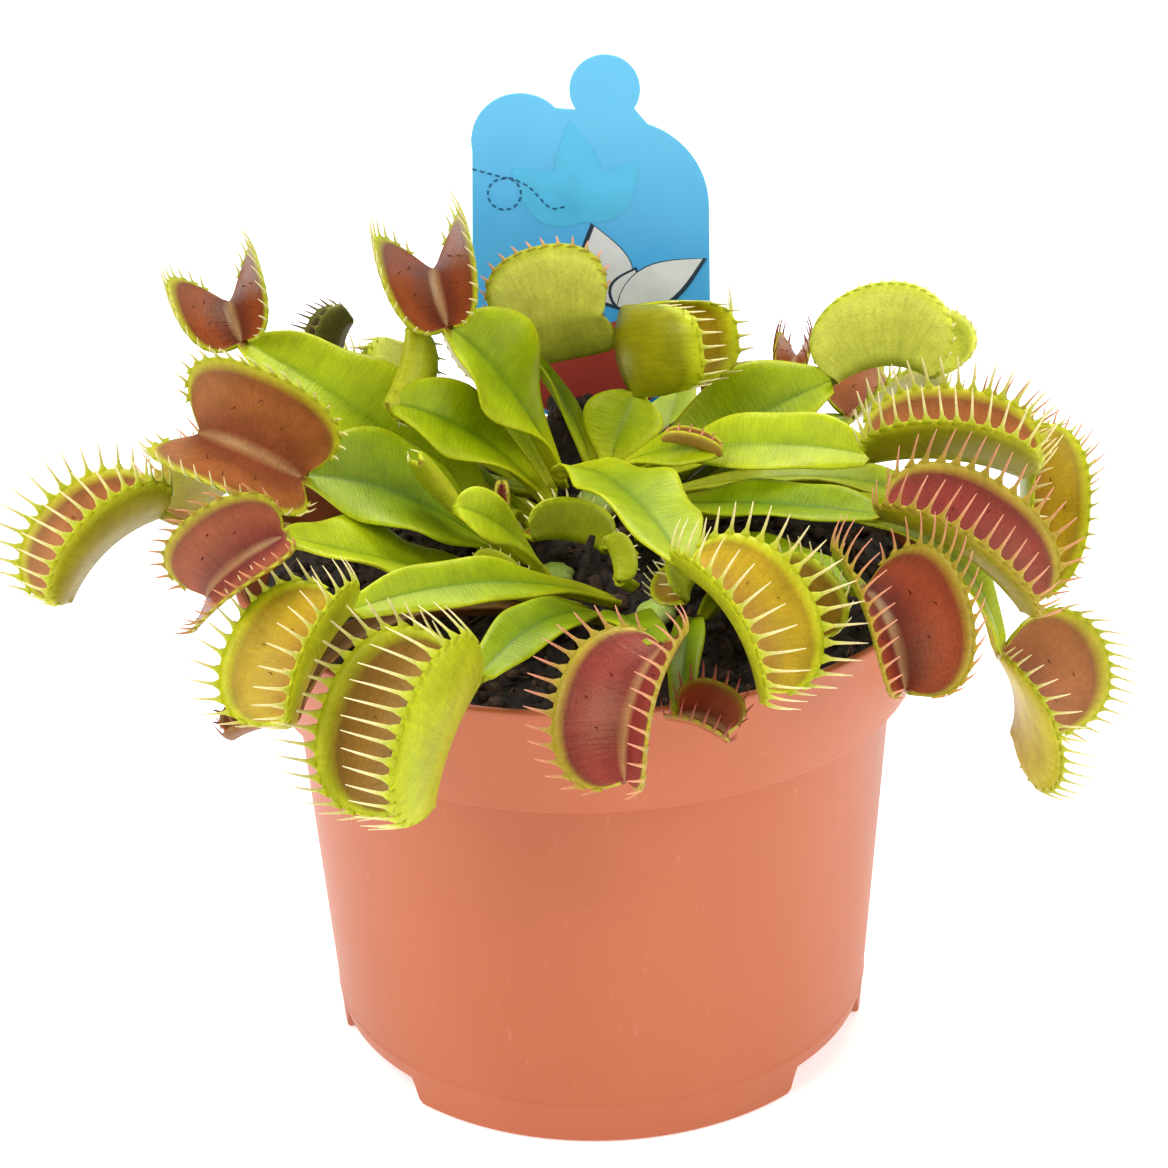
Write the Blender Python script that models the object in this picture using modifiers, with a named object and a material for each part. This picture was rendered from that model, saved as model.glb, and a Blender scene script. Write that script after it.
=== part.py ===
"""A potted Venus flytrap: plastic pot, peat, three crowns, each leaf with its own trap, and a plant label.

Lengths in this file are millimetres, turned into metres by MM when a mesh is made. The origin is on the pot's
axis at floor level, +Z is up, and the label stands at the back, +Y. Headings turn from +X towards +Y.
"""

import math

import bpy
import numpy as np

MM = 0.001
GAP = 0.3

POT_HEIGHT = 66.0
RIM_RADIUS = 45.0
COLLAR_FOOT_RADIUS = 41.2
COLLAR_FOOT_HEIGHT = 50.7
NECK_RADIUS = 38.3
BASE_RADIUS = 34.8
POT_WALL = 1.1
POT_STEPS = 96
FLOOR_HEIGHT = 5.0
FOOT_COUNT = 3
NOTCH_HEIGHT = 3.5
NOTCH_WIDTH = 21.5
NOTCH_SLOPE = 1.8
FIRST_NOTCH = -30.0
DRAIN_COUNT = 6
DRAIN_RING = 20.0
DRAIN_RADIUS = 3.5

PEAT_HEIGHT = 60.5
PEAT_CLEARANCE = 0.4
MOUND_HEIGHT = 5.0
MOUND_SPREAD = 13.0
PLUG_CENTRE = (0.0, 26.0)
PLUG_SIZE = (5.0, 5.0)
PLUG_RISE = 12.0
PLUG_SHOULDER = 0.25
PEAT_BOTTOM = FLOOR_HEIGHT + 0.5
PEAT_RINGS = 12
PEAT_STEPS = 40

LABEL_X = 1.0
LABEL_Y = 34.5
LABEL_THICKNESS = 0.5
LABEL_WIDTH = 32.0
LABEL_FOOT = 76.0
LABEL_TOP = 110.7
LABEL_SLOPE = 6.0
LABEL_BUMP_RADIUS = 6.4
LABEL_KNOB = (3.6, 115.3)
LABEL_KNOB_RADIUS = 4.6
LABEL_SHOULDER_RADIUS = 12.0
STAKE_X = 1.0
STAKE_WIDTH = 12.0
STAKE_DEPTH = 20.0
STAKE_POINT = 4.0

LEAF_THICKNESS = 1.0
LEAF_ROWS = (6, 8)
LEAF_HALF_COLUMNS = 2
SMALL_HINGE = 6.5
SMALL_THICKNESS = 0.8
SMALL_ROWS = (4, 5)
SMALL_HALF_COLUMNS = 1
NECK_WIDTH = 2.2
BLADE_FOLD = 0.25
TWIST_RATE = 1.6
SPOON_SHIFT = 1.7
TRAP_FAN = 30.0
TRAP_END_WIDTH = 0.28
LOBE_FLARE = 0.35

# Where along its length a petiole bends: half way, or nearer the neck on three that hang over the rim.
MIDDLE = 0.5
LEAN = {"leaf_right_hanging": 0.9, "leaf_right_pale": 0.75, "leaf_front_old": 0.85}

CROWNS = {
    "crown_back": (1.5, 9.5, 3.0, 4.0),
    "crown_left": (-4.5, -5.5, 2.4, 3.0),
    "crown_front": (8.0, -13.5, 2.4, 3.0),
}
STALKS = {
    "dead_stalk": (((-1.4, -11.0, 64.2), (-1.2, -10.4, 66.5), (-0.4, -9.6, 69.0), (0.4, -9.0, 71.6)), 0.7),
    "dead_stub": (((8.6, -9.0, 64.5), (8.9, -9.4, 66.4), (9.0, -10.2, 68.6)), 0.9),
}
RED_LEAVES = ("leaf_left_red", "leaf_front_red", "leaf_front_small", "leaf_right_red", "leaf_right_crimson")

# One row a leaf. base and neck are the two ends of the petiole. arch and bow bend it up and to its left, width
# is the blade's, twist turns it about its midrib. heading, pitch and roll point the trap's hinge and its
# mouth, gape is the angle between the lobes, then come the hinge's length, the lobe's width, the hinge's bend
# and the lobes' inward curl.
COLUMNS = ("base", "neck", "arch", "bow", "width", "twist", "heading", "pitch", "roll", "gape")
COLUMNS += ("hinge", "lobe", "bend", "curl")
LEAVES = {
    "leaf_far_left": ((-9, -3, 64), (-52, -11.5, 77.3), -2, -3, 6, 0, 215, -30, 15, 95, 15.5, 10, 50, 35),
    "leaf_left_large": ((-9, -5, 65), (-34.5, -13, 82.2), 3.5, 0, 16.8, 30, 160, 18, -45, 85, 14, 11.5, 55, 35),
    "leaf_left_red": ((-8.5, -8.5, 64), (-35.5, -28, 81), 0, 0, 13, 15, 170, -40, -50, 95, 13, 8, 60, 35),
    "leaf_front_left": ((3, -13, 64.5), (-28, -36, 75), 3, 0, 7, 35, 235, -40, 25, 105, 14, 11, 30, 35),
    "leaf_front_big": ((3, -16, 63), (-13, -48.2, 72), 4, 0, 7, 20, 235, -50, 30, 85, 14.5, 15.7, 25, 60),
    "leaf_front_red": ((6, -17.5, 63), (8, -47, 75), 2.5, -3, 6, 0, 245, -45, 25, 120, 16.5, 9, 65, 35),
    "leaf_front_small": ((12.5, -16, 62.8), (9.6, -47, 66.2), 4, 0, 4, 0, 340, -15, 10, 100, 5.5, 5, 50, 35),
    "leaf_front_green": ((-3.5, 7, 73.5), (11, -36, 79), 4, 0, 13, 10, 315, -45, -15, 105, 16.5, 9.5, 60, 35),
    "leaf_right_red": ((6.5, 3, 65.5), (32, -26, 71), 1.5, 0, 8, 0, 285, -25, -10, 80, 15.5, 10.5, 55, 35),
    "leaf_right_crimson": ((5.5, 6.5, 68.3), (36, -14, 75.2), 1, 0, 9, -10, 340, -30, 0, 103, 20, 10.3, 45, 35),
    "leaf_right_olive": ((6, 9, 72.5), (36, 0, 77), 2.5, 0, 10, -30, 352, -5, 0, 78, 18.5, 9, 36, 35),
    "leaf_right_pale": ((8.5, 11.5, 67.5), (54.5, 6, 56.5), 9, 0, 8, 0, 80, 50, 45, 70, 20, 9, 25, 35),
    "leaf_right_high": ((7, 14.5, 68.5), (33, 22, 79), 0, 1.5, 14.6, -30, 320, 15, -40, 44, 16, 10.5, 65, 35),
    "leaf_back_closed": ((3, 13, 71), (6.5, 17, 79.8), 1, 0, 11, -20, 110, 72, 48, 50, 11.5, 16.5, -60, 70),
    "leaf_back_turned": ((0.5, 14.5, 71), (-10, 18, 88), 1, -2.5, 4, 0, 5, 10, -80, 140, 13.5, 9.5, 70, 35),
    "leaf_back_open": ((-3, 10.5, 70), (-17, 8, 93), 3, 0, 17, 35, 100, 20, -15, 75, 11.5, 10, 50, 35),
    "leaf_upper_left": ((-8, -1, 64.5), (-43, 10, 91), 3, 0, 14, 30, 105, 20, -20, 80, 8, 9.5, 45, 35),
    "leaf_left_dark": ((-4, 8.4, 69.8), (-32, 22, 83), -3, 3, 3, 0, 60, 60, -40, 60, 6, 5, 45, 35),
    "leaf_left_folded": ((-4, 5.5, 68.5), (-24.5, 0.8, 85.8), 3.2, 0, 11, 40, 70, 40, 150, 10, 10.5, 5.5, 25, 70),
    "leaf_right_hanging": ((8.2, 7, 66), (50.3, -14, 56), 12.5, 0, 8, 0, 40, -75, 70, 85, 12.5, 12.5, 50, 35),
    "leaf_front_old": ((-3, -12.5, 62.8), (-35, -37, 62), 8, 0, 4, 0, 192, -8, -20, 55, 7.2, 4, 40, 50),
    "leaf_front_dark": ((14, -13.5, 62.6), (20, -27, 71), 2, 0, 5, 0, 310, -15, 0, 70, 9, 7, 50, 35),
    "leaf_left_purple": ((-6.2, 3.4, 66.4), (-26, 12.5, 79.5), 1.5, 0, 4, 0, 120, 50, -30, 60, 5, 4, 40, 35),
    "leaf_left_young": ((-8.5, -8, 68.5), (-16, -11.5, 77), 0, 0, 2.2, 0, 202, 57, 90, 50, 8, 3, 25, 40),
    "leaf_spoon": ((-5, -11, 66.6), (-15.7, -17, 79.4), 2, 0, 7, 50, 0, 0, 0, 60, 0, 0, 30, 35),
    "leaf_bud_left": ((-8.9, 2.6, 69), (-10.7, -3, 71.4), 1, 0, 2.2, 0, 90, 75, 0, 60, 4.5, 1.7, 20, 60),
    "leaf_centre_dark": ((5.6, -4.2, 66), (1.6, -3.4, 67.5), 0.6, 0, 3, 0, 190, 15, 60, 80, 9, 5, 40, 35),
    "leaf_tiny_left": ((-6.8, -9.8, 65), (-9.8, -12.5, 67.3), 1, 0, 2.2, 0, 185, 30, 60, 60, 5, 2.6, 40, 40),
    "leaf_tiny_right": ((-1, -14, 64.2), (-11, -15.5, 68), 0.5, 1.5, 2.2, 0, 345, 8, 0, 60, 4, 2.2, 40, 40),
    "leaf_young_right": ((11, -9, 64), (13, -21, 72), 2, 0, 4, 0, 250, -10, 60, 60, 6, 4.5, 40, 35),
    "leaf_bud_right": ((4.5, 6, 74.5), (16.5, 1, 78), 1, 0, 6, -30, 172, 15, 0, 60, 7, 2, 20, 60),
    "leaf_back_brown": ((8, 22, 67), (17.5, 30, 71), 1, 0, 6, 0, 100, 60, 0, 60, 8, 5, 40, 35),
    "leaf_back_right": ((11.5, 18.5, 67), (27.5, 29.5, 75.5), 0, 0, 4, 0, 80, 10, 0, 60, 7, 5, 40, 35),
    "leaf_back_left": ((-5, 15, 67.5), (-19, 20.8, 78), 2, -3.5, 4, 30, 150, 50, -120, 60, 9, 8, 40, 35),
    "leaf_tiny_centre": ((5, -8.5, 64.5), (3.5, -11, 66.7), 0, 0, 2.2, 0, 120, 60, 90, 60, 5, 2.6, 30, 40),
    "leaf_rear_left": ((-5, 15, 65.5), (-33, 32, 71), 4, 0, 8, 0, 140, -20, 0, 80, 14, 10, 50, 35),
    "leaf_rear_left_low": ((-6.5, 11.5, 65.8), (-42, 22, 67), 3, 0, 8, 0, 160, -30, 0, 85, 14, 10, 55, 35),
    "leaf_rear_middle_left": ((-8.6, 19, 65.4), (-13, 48.6, 70), 1, 0, 6, 0, 95, -25, 0, 80, 14, 10, 50, 35),
    "leaf_rear_middle_right": ((8.5, 21, 64.8), (14, 48.6, 70), 1, 0, 6, 0, 85, -25, 0, 80, 14, 10, 50, 35),
    "leaf_rear_right": ((11, 15, 65.2), (36, 34, 68.5), 1, 0, 8, 0, 50, -20, 0, 80, 13, 10, 50, 35),
    "leaf_rear_right_low": ((9.5, 11, 65), (51, 28.5, 65), 4.5, 0, 8, 0, 20, -35, 0, 85, 14, 10, 55, 35),
}


def unit(v):
    return v / np.linalg.norm(v)


UP = np.array([0.0, 0.0, 1.0])


def trap_axes(heading, pitch, roll):
    """Unit vectors along the hinge, out of the mouth, and across to the first lobe."""
    a, b, c = (math.radians(x) for x in (heading, pitch, roll))
    along = np.array([math.cos(b) * math.cos(a), math.cos(b) * math.sin(a), math.sin(b)])
    level = unit(UP - (UP @ along) * along)
    out = level * math.cos(c) + np.cross(along, level) * math.sin(c)
    return along, out, np.cross(along, out)


def trap_point(leaf, t, v):
    """A point of the trap: t runs -1 to 1 along the hinge, v runs -1 to 1 from margin to margin."""
    bend = math.radians(leaf["bend"])
    radius = leaf["hinge"] / bend
    turn = bend * t / 2
    span = leaf["lobe"] * (TRAP_END_WIDTH + (1 - TRAP_END_WIDTH) * (1 - abs(t) ** 2.6) ** 0.55)
    curl = math.radians(leaf["curl"])
    start = math.radians(leaf["gape"] + leaf["curl"]) / 2
    rise = (math.sin(start) - math.sin(start - curl * abs(v))) / curl
    reach = (math.cos(start - curl * abs(v)) - math.cos(start)) / curl
    fan = math.radians(TRAP_FAN) * t
    along = (rise + LOBE_FLARE * reach) * math.sin(fan) * span
    out = rise * math.cos(fan) * span
    x = radius * (math.sin(turn) + math.sin(bend / 2)) + along * math.cos(turn) + out * math.sin(turn)
    y = radius * (math.cos(turn) - math.cos(bend / 2)) - along * math.sin(turn) + out * math.cos(turn)
    return x, y, math.copysign(reach * span, v) if v else 0.0


def blade_width(u, width):
    """The petiole's width at u, from 0 at its base to 1 at the neck."""
    narrow = min(width, NECK_WIDTH)
    return narrow + (width - narrow) * math.sin(math.pi * u**1.25) ** 0.9


def leaf_grid(leaf, petiole_rows, trap_rows, half_columns):
    """Points of the leaf's surface, row by row from the base to the tip, in millimetres."""
    base = np.array(leaf["base"], float)
    neck = np.array(leaf["neck"], float)
    flat = unit((neck - base) * (1, 1, 0))
    middle = base + (neck - base) * leaf["lean"] + 2 * leaf["arch"] * UP - 2 * leaf["bow"] * np.cross(flat, UP)
    across = np.linspace(-1, 1, 2 * half_columns + 1)
    rows = []
    trapless = leaf["hinge"] == 0
    for u in np.linspace(0, 1, petiole_rows, endpoint=trapless):
        centre = (1 - u) ** 2 * base + 2 * u * (1 - u) * middle + u * u * neck
        tangent = unit((1 - u) * (middle - base) + u * (neck - middle))
        side = unit(np.cross(tangent, UP))
        top = np.cross(side, tangent)
        turn = math.radians(leaf["twist"]) * min(1, TWIST_RATE * u)
        side, top = side * math.cos(turn) + top * math.sin(turn), top * math.cos(turn) - side * math.sin(turn)
        half = blade_width(u**SPOON_SHIFT if trapless else u, leaf["width"]) / 2
        rows.append([centre + half * (v * side + BLADE_FOLD * abs(v) * top) for v in across])
    if trapless:
        return np.array(rows)
    along, out, first = trap_axes(leaf["heading"], leaf["pitch"], leaf["roll"])
    for t in np.linspace(-1, 1, trap_rows):
        points = [trap_point(leaf, t, v) for v in across]
        rows.append([neck + x * along + y * out + z * first for x, y, z in points])
    return np.array(rows)


def peat_height(x, y):
    """The peat's surface: nearly level, mounded under the crowns, with a raised plug in front of the label."""
    mound = MOUND_HEIGHT * math.exp(-(x**2 + (y - 10) ** 2) / (2 * MOUND_SPREAD**2))
    out = max(abs(x - PLUG_CENTRE[0]) / PLUG_SIZE[0], abs(y - PLUG_CENTRE[1]) / PLUG_SIZE[1])
    plug = PLUG_RISE * min(1, max(0, (1 + PLUG_SHOULDER - out) / PLUG_SHOULDER))
    lumps = 0.35 * math.sin(0.9 * x + 1.3) * math.sin(1.1 * y) + 0.2 * math.sin(2.3 * x - 1.7 * y)
    return PEAT_HEIGHT + mound + plug + lumps


def clear_scene():
    for thing in list(bpy.data.objects):
        bpy.data.objects.remove(thing, do_unlink=True)


def new_collection(name):
    group = bpy.data.collections.new(name)
    bpy.context.scene.collection.children.link(group)
    return group


def material(name, colour, roughness):
    made = bpy.data.materials.new(name)
    made.use_nodes = True
    shader = made.node_tree.nodes["Principled BSDF"]
    shader.inputs["Base Color"].default_value = (*colour, 1.0)
    shader.inputs["Roughness"].default_value = roughness
    return made


def object_from(name, shape, group, look):
    thing = bpy.data.objects.new(name, shape)
    group.objects.link(thing)
    thing.data.materials.append(look)
    return thing


def mesh_from(name, points, faces):
    """A mesh from points in millimetres."""
    mesh = bpy.data.meshes.new(name)
    mesh.from_pydata([tuple(MM * float(c) for c in p) for p in points], [], faces)
    mesh.update()
    return mesh


def adopt(name, group):
    """Names the primitive just added and moves it into a collection."""
    thing = bpy.context.object
    thing.name = name
    for owner in list(thing.users_collection):
        owner.objects.unlink(thing)
    group.objects.link(thing)
    return thing


def helper(thing):
    thing.hide_render = True
    thing.display_type = "WIRE"
    return thing


def cut(target, cutter):
    boolean = target.modifiers.new("cut_" + cutter.name, "BOOLEAN")
    boolean.operation = "DIFFERENCE"
    boolean.object = cutter
    boolean.solver = "EXACT"


def pot_inner_radius(z):
    """Radius of the pot's inner wall at height z, above the floor."""
    heights = (FLOOR_HEIGHT, COLLAR_FOOT_HEIGHT, COLLAR_FOOT_HEIGHT + POT_WALL, POT_HEIGHT)
    foot = BASE_RADIUS + (NECK_RADIUS - BASE_RADIUS) * FLOOR_HEIGHT / COLLAR_FOOT_HEIGHT
    radii = (foot, NECK_RADIUS, COLLAR_FOOT_RADIUS, RIM_RADIUS)
    return float(np.interp(z, heights, radii)) - POT_WALL


def pot_profile():
    """The pot's section as (radius, height), from the floor's middle over the rim and down to the foot."""
    inside = [(pot_inner_radius(z), z) for z in (FLOOR_HEIGHT, COLLAR_FOOT_HEIGHT)]
    inside += [(pot_inner_radius(z), z) for z in (COLLAR_FOOT_HEIGHT + POT_WALL, POT_HEIGHT)]
    rim = [(RIM_RADIUS - 0.3, POT_HEIGHT), (RIM_RADIUS, POT_HEIGHT - 0.4)]
    collar = [(COLLAR_FOOT_RADIUS, COLLAR_FOOT_HEIGHT + 0.4), (COLLAR_FOOT_RADIUS - 0.3, COLLAR_FOOT_HEIGHT)]
    wall = [(NECK_RADIUS, COLLAR_FOOT_HEIGHT - 0.2), (BASE_RADIUS + 0.4, FLOOR_HEIGHT), (BASE_RADIUS, 0)]
    under = [(BASE_RADIUS - POT_WALL, 0), (BASE_RADIUS - POT_WALL, FLOOR_HEIGHT - POT_WALL)]
    return [(0, FLOOR_HEIGHT)] + inside + rim + collar + wall + under + [(0, FLOOR_HEIGHT - POT_WALL)]


def turned(name, profile, steps, group, look):
    """A solid of revolution about +Z from a profile that runs down its outer side."""
    points = [(r, 0, z) for r, z in profile]
    mesh = mesh_from(name, points, [])
    mesh.edges.add(len(points) - 1)
    for i, edge in enumerate(mesh.edges):
        edge.vertices = (i, i + 1)
    thing = object_from(name, mesh, group, look)
    screw = thing.modifiers.new("turn", "SCREW")
    screw.steps = steps
    screw.render_steps = steps
    screw.use_merge_vertices = True
    screw.merge_threshold = 0.0001
    screw.use_smooth_shade = True
    return thing


def foot_notch(name, angle, group):
    """A cutter for one notch in the pot's foot: a block with sloped ends."""
    bpy.ops.mesh.primitive_cube_add(size=2)
    block = adopt(name, group)
    for vertex in block.data.vertices:
        slope = NOTCH_SLOPE if vertex.co.z > 0 else 0
        vertex.co.x *= MM * 4 * POT_WALL
        vertex.co.y *= MM * (NOTCH_WIDTH / 2 - slope)
        vertex.co.z *= MM * NOTCH_HEIGHT
    turn = math.radians(angle)
    block.location = (MM * BASE_RADIUS * math.cos(turn), MM * BASE_RADIUS * math.sin(turn), 0)
    block.rotation_euler.z = turn
    return helper(block)


def drain_hole(name, angle, group):
    """A cutter through the pot's floor."""
    turn = math.radians(angle)
    place = (MM * DRAIN_RING * math.cos(turn), MM * DRAIN_RING * math.sin(turn), MM * FLOOR_HEIGHT)
    bpy.ops.mesh.primitive_cylinder_add(
        vertices=16, radius=MM * DRAIN_RADIUS, depth=MM * 4 * POT_WALL, location=place
    )
    return helper(adopt(name, group))


def make_pot(parts, cutters):
    look = material("terracotta_plastic", (0.69, 0.21, 0.10), 0.42)
    pot = turned("pot", pot_profile(), POT_STEPS, parts, look)
    for i in range(FOOT_COUNT):
        cut(pot, foot_notch(f"notch_{i + 1}", FIRST_NOTCH + i * 360 / FOOT_COUNT, cutters))
    for i in range(DRAIN_COUNT):
        cut(pot, drain_hole(f"drain_{i + 1}", i * 360 / DRAIN_COUNT, cutters))


def make_peat(parts, cutters):
    """The pot's filling: a turned solid whose flat top is then lifted into lumps, mound and plug."""
    edge = pot_inner_radius(PEAT_HEIGHT - 1) - PEAT_CLEARANCE
    profile = [(edge * k / PEAT_RINGS, PEAT_HEIGHT) for k in range(PEAT_RINGS + 1)]
    for z in (COLLAR_FOOT_HEIGHT + 2 * POT_WALL, COLLAR_FOOT_HEIGHT, PEAT_BOTTOM):
        profile.append((pot_inner_radius(z) - PEAT_CLEARANCE, z))
    profile.append((0, PEAT_BOTTOM))
    peat = turned("peat", profile, PEAT_STEPS, parts, material("peat", (0.03, 0.02, 0.015), 0.95))
    bpy.context.view_layer.update()
    peat.data = bpy.data.meshes.new_from_object(peat.evaluated_get(bpy.context.evaluated_depsgraph_get()))
    peat.modifiers.clear()
    for vertex in peat.data.vertices:
        if vertex.co.z > MM * (PEAT_HEIGHT - 0.01):
            vertex.co.z = MM * peat_height(vertex.co.x / MM, vertex.co.y / MM)
    bpy.ops.mesh.primitive_cube_add(size=1, location=(MM * STAKE_X, MM * LABEL_Y, MM * PEAT_HEIGHT))
    slot = adopt("stake_slot", cutters)
    slot.scale = (MM * (STAKE_WIDTH + 2 * GAP), MM * (LABEL_THICKNESS + 2 * GAP), MM * 2 * (STAKE_DEPTH + GAP))
    cut(peat, helper(slot))


def arc(centre, radius, start, stop, count):
    """Points on an arc, in degrees from +X towards +Z."""
    turns = np.radians(np.linspace(start, stop, count))
    return [(centre[0] + radius * math.cos(a), centre[1] + radius * math.sin(a)) for a in turns]


def label_outline():
    """The label's outline as (x, z), clockwise seen from the front, from the stake's point."""
    left, right = LABEL_X - LABEL_WIDTH / 2, LABEL_X + LABEL_WIDTH / 2
    stake_left, stake_right = STAKE_X - STAKE_WIDTH / 2, STAKE_X + STAKE_WIDTH / 2
    stake_foot = PEAT_HEIGHT - STAKE_DEPTH
    bump = (left + LABEL_BUMP_RADIUS + 1, LABEL_TOP - 2)
    shoulder = (right - LABEL_SHOULDER_RADIUS, LABEL_TOP + 0.5 - LABEL_SHOULDER_RADIUS)
    outline = [(STAKE_X, stake_foot), (stake_left, stake_foot + STAKE_POINT)]
    outline += [(stake_left, LABEL_FOOT - LABEL_SLOPE), (left + 1, LABEL_FOOT + 1), (left, LABEL_FOOT + 4)]
    outline += arc(bump, LABEL_BUMP_RADIUS, 190, 42, 10)
    outline += arc(LABEL_KNOB, LABEL_KNOB_RADIUS, 215, -35, 13)
    outline += arc(shoulder, LABEL_SHOULDER_RADIUS, 70, 0, 9)
    outline += [(right, LABEL_FOOT + 4), (right - 1, LABEL_FOOT + 1), (stake_right, LABEL_FOOT - LABEL_SLOPE)]
    outline += [(stake_right, stake_foot + STAKE_POINT)]
    return outline


def make_label(parts):
    """The plant label: a flat outline, extruded, standing on edge with its stake in the peat."""
    outline = label_outline()
    curve = bpy.data.curves.new("plant_label", "CURVE")
    curve.dimensions = "2D"
    curve.fill_mode = "BOTH"
    curve.extrude = MM * LABEL_THICKNESS / 2
    spline = curve.splines.new("POLY")
    spline.points.add(len(outline) - 1)
    for point, (x, z) in zip(spline.points, outline):
        point.co = (MM * x, MM * z, 0, 1)
    spline.use_cyclic_u = True
    label = object_from("plant_label", curve, parts, material("label_plastic", (0.10, 0.45, 0.80), 0.35))
    label.location = (0, MM * LABEL_Y, 0)
    label.rotation_euler = (math.pi / 2, 0, 0)


def make_crown(name, place, group, look):
    """A bulb of short stem that the leaves grow round."""
    x, y, radius, height = place
    bpy.ops.mesh.primitive_uv_sphere_add(segments=12, ring_count=8, radius=1)
    crown = adopt(name, group)
    crown.scale = (MM * radius, MM * radius, MM * height / 2)
    crown.location = (MM * x, MM * y, MM * (peat_height(x, y) + height / 2 + 2 * GAP))
    crown.data.materials.append(look)
    crown.data.shade_smooth()


def make_leaf(name, leaf, group, look):
    """One leaf and its trap: a single open sheet along the midrib, thickened by Solidify."""
    small = leaf["hinge"] < SMALL_HINGE
    rows = SMALL_ROWS if small else LEAF_ROWS
    grid = leaf_grid(leaf, rows[0], rows[1], SMALL_HALF_COLUMNS if small else LEAF_HALF_COLUMNS)
    count, columns = grid.shape[:2]
    faces = []
    for i in range(count - 1):
        for j in range(columns - 1):
            a = i * columns + j
            faces.append((a, a + 1, a + columns + 1, a + columns))
    sheet = object_from(name, mesh_from(name, grid.reshape(-1, 3), faces), group, look)
    shell = sheet.modifiers.new("thickness", "SOLIDIFY")
    shell.thickness = MM * (SMALL_THICKNESS if small else LEAF_THICKNESS)
    shell.offset = 0
    sheet.data.shade_smooth()


def make_stalk(name, points, radius, group, look):
    """A thin dead stalk along a few points."""
    curve = bpy.data.curves.new(name, "CURVE")
    curve.dimensions = "3D"
    curve.bevel_depth = MM * radius
    curve.bevel_resolution = 1
    curve.use_fill_caps = True
    spline = curve.splines.new("POLY")
    spline.points.add(len(points) - 1)
    for place, point in zip(spline.points, points):
        place.co = (*(MM * c for c in point), 1)
    object_from(name, curve, group, look)


def main():
    clear_scene()
    parts = new_collection("potted_venus_flytrap")
    cutters = new_collection("cutters")
    make_pot(parts, cutters)
    make_peat(parts, cutters)
    make_label(parts)
    stem = material("crown_stem", (0.55, 0.62, 0.30), 0.6)
    for name, place in CROWNS.items():
        make_crown(name, place, parts, stem)
    green = material("leaf_green", (0.33, 0.52, 0.05), 0.45)
    red = material("leaf_red", (0.45, 0.12, 0.09), 0.45)
    for name, row in LEAVES.items():
        leaf = dict(zip(COLUMNS, row), lean=LEAN.get(name, MIDDLE))
        make_leaf(name, leaf, parts, red if name in RED_LEAVES else green)
    dead = material("dead_stalk", (0.02, 0.02, 0.02), 0.9)
    for name, (points, radius) in STALKS.items():
        make_stalk(name, points, radius, parts, dead)


main()
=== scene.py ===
"""The looks of a potted Venus flytrap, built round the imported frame: leaves, traps, pot, peat and label.

Lengths in the tables are millimetres, turned into metres by MM when a mesh is made. The origin is on the
pot's axis at floor level, +Z is up and the label stands at the back, +Y. Headings turn from +X towards +Y.
"""

import math

import bpy
import numpy as np
from mathutils import Matrix, Vector, noise


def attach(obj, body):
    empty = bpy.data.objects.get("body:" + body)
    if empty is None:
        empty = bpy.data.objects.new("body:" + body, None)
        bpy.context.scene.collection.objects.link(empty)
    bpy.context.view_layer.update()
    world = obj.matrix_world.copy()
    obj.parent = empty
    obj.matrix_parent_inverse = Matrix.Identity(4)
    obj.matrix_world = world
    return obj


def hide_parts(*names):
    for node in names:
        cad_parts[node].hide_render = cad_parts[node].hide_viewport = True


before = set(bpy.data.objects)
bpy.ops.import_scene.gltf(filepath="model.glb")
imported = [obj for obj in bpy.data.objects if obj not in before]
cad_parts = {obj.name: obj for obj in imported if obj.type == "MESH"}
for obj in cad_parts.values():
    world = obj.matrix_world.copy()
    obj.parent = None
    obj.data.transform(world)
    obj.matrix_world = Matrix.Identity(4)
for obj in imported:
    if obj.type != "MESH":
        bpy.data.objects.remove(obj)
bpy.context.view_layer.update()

MM = 0.001
UP = np.array([0.0, 0.0, 1.0])

# ---- driving sizes, as in the CAD
POT_HEIGHT = 66.0
RIM_RADIUS = 45.0
COLLAR_FOOT_RADIUS = 41.2
COLLAR_FOOT_HEIGHT = 50.7
NECK_RADIUS = 38.3
BASE_RADIUS = 34.8
POT_WALL = 1.1
FLOOR_HEIGHT = 5.0
NOTCH_HEIGHT = 3.5
NOTCH_WIDTH = 21.5
NOTCH_SLOPE = 1.8
FIRST_NOTCH = -30.0
DRAIN_RING = 20.0
DRAIN_RADIUS = 3.5
DRAIN_HOLES = 6
PEAT_HEIGHT = 60.5
MOUND_HEIGHT = 5.0
MOUND_SPREAD = 13.0
PLUG_CENTRE = (0.0, 26.0)
PLUG_SIZE = (5.0, 5.0)
PLUG_RISE = 12.0
PLUG_SHOULDER = 0.25
LABEL_X = 1.0
LABEL_Y = 34.5
LABEL_THICKNESS = 0.5
LABEL_WIDTH = 32.0
LABEL_FOOT = 76.0
LABEL_TOP = 110.7
LABEL_SLOPE = 6.0
LABEL_BUMP_RADIUS = 6.4
LABEL_KNOB = (3.6, 115.3)
LABEL_KNOB_RADIUS = 4.6
LABEL_SHOULDER_RADIUS = 12.0
LABEL_BORDER = 0.4
STAKE_X = 1.0
STAKE_WIDTH = 12.0
STAKE_DEPTH = 20.0
STAKE_POINT = 4.0
NECK_WIDTH = 2.2
BLADE_FOLD = 0.25
TWIST_RATE = 1.6
SPOON_SHIFT = 1.7
TRAP_FAN = 30.0
LOBE_FLARE = 0.35
MIDDLE = 0.5
LEAN = {"right_hanging": 0.9, "right_pale": 0.75, "front_old": 0.85}
CROWNS = {
    "crown_back": (1.5, 9.5, 3.0, 4.0),
    "crown_left": (-4.5, -5.5, 2.4, 3.0),
    "crown_front": (8.0, -13.5, 2.4, 3.0),
}
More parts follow.
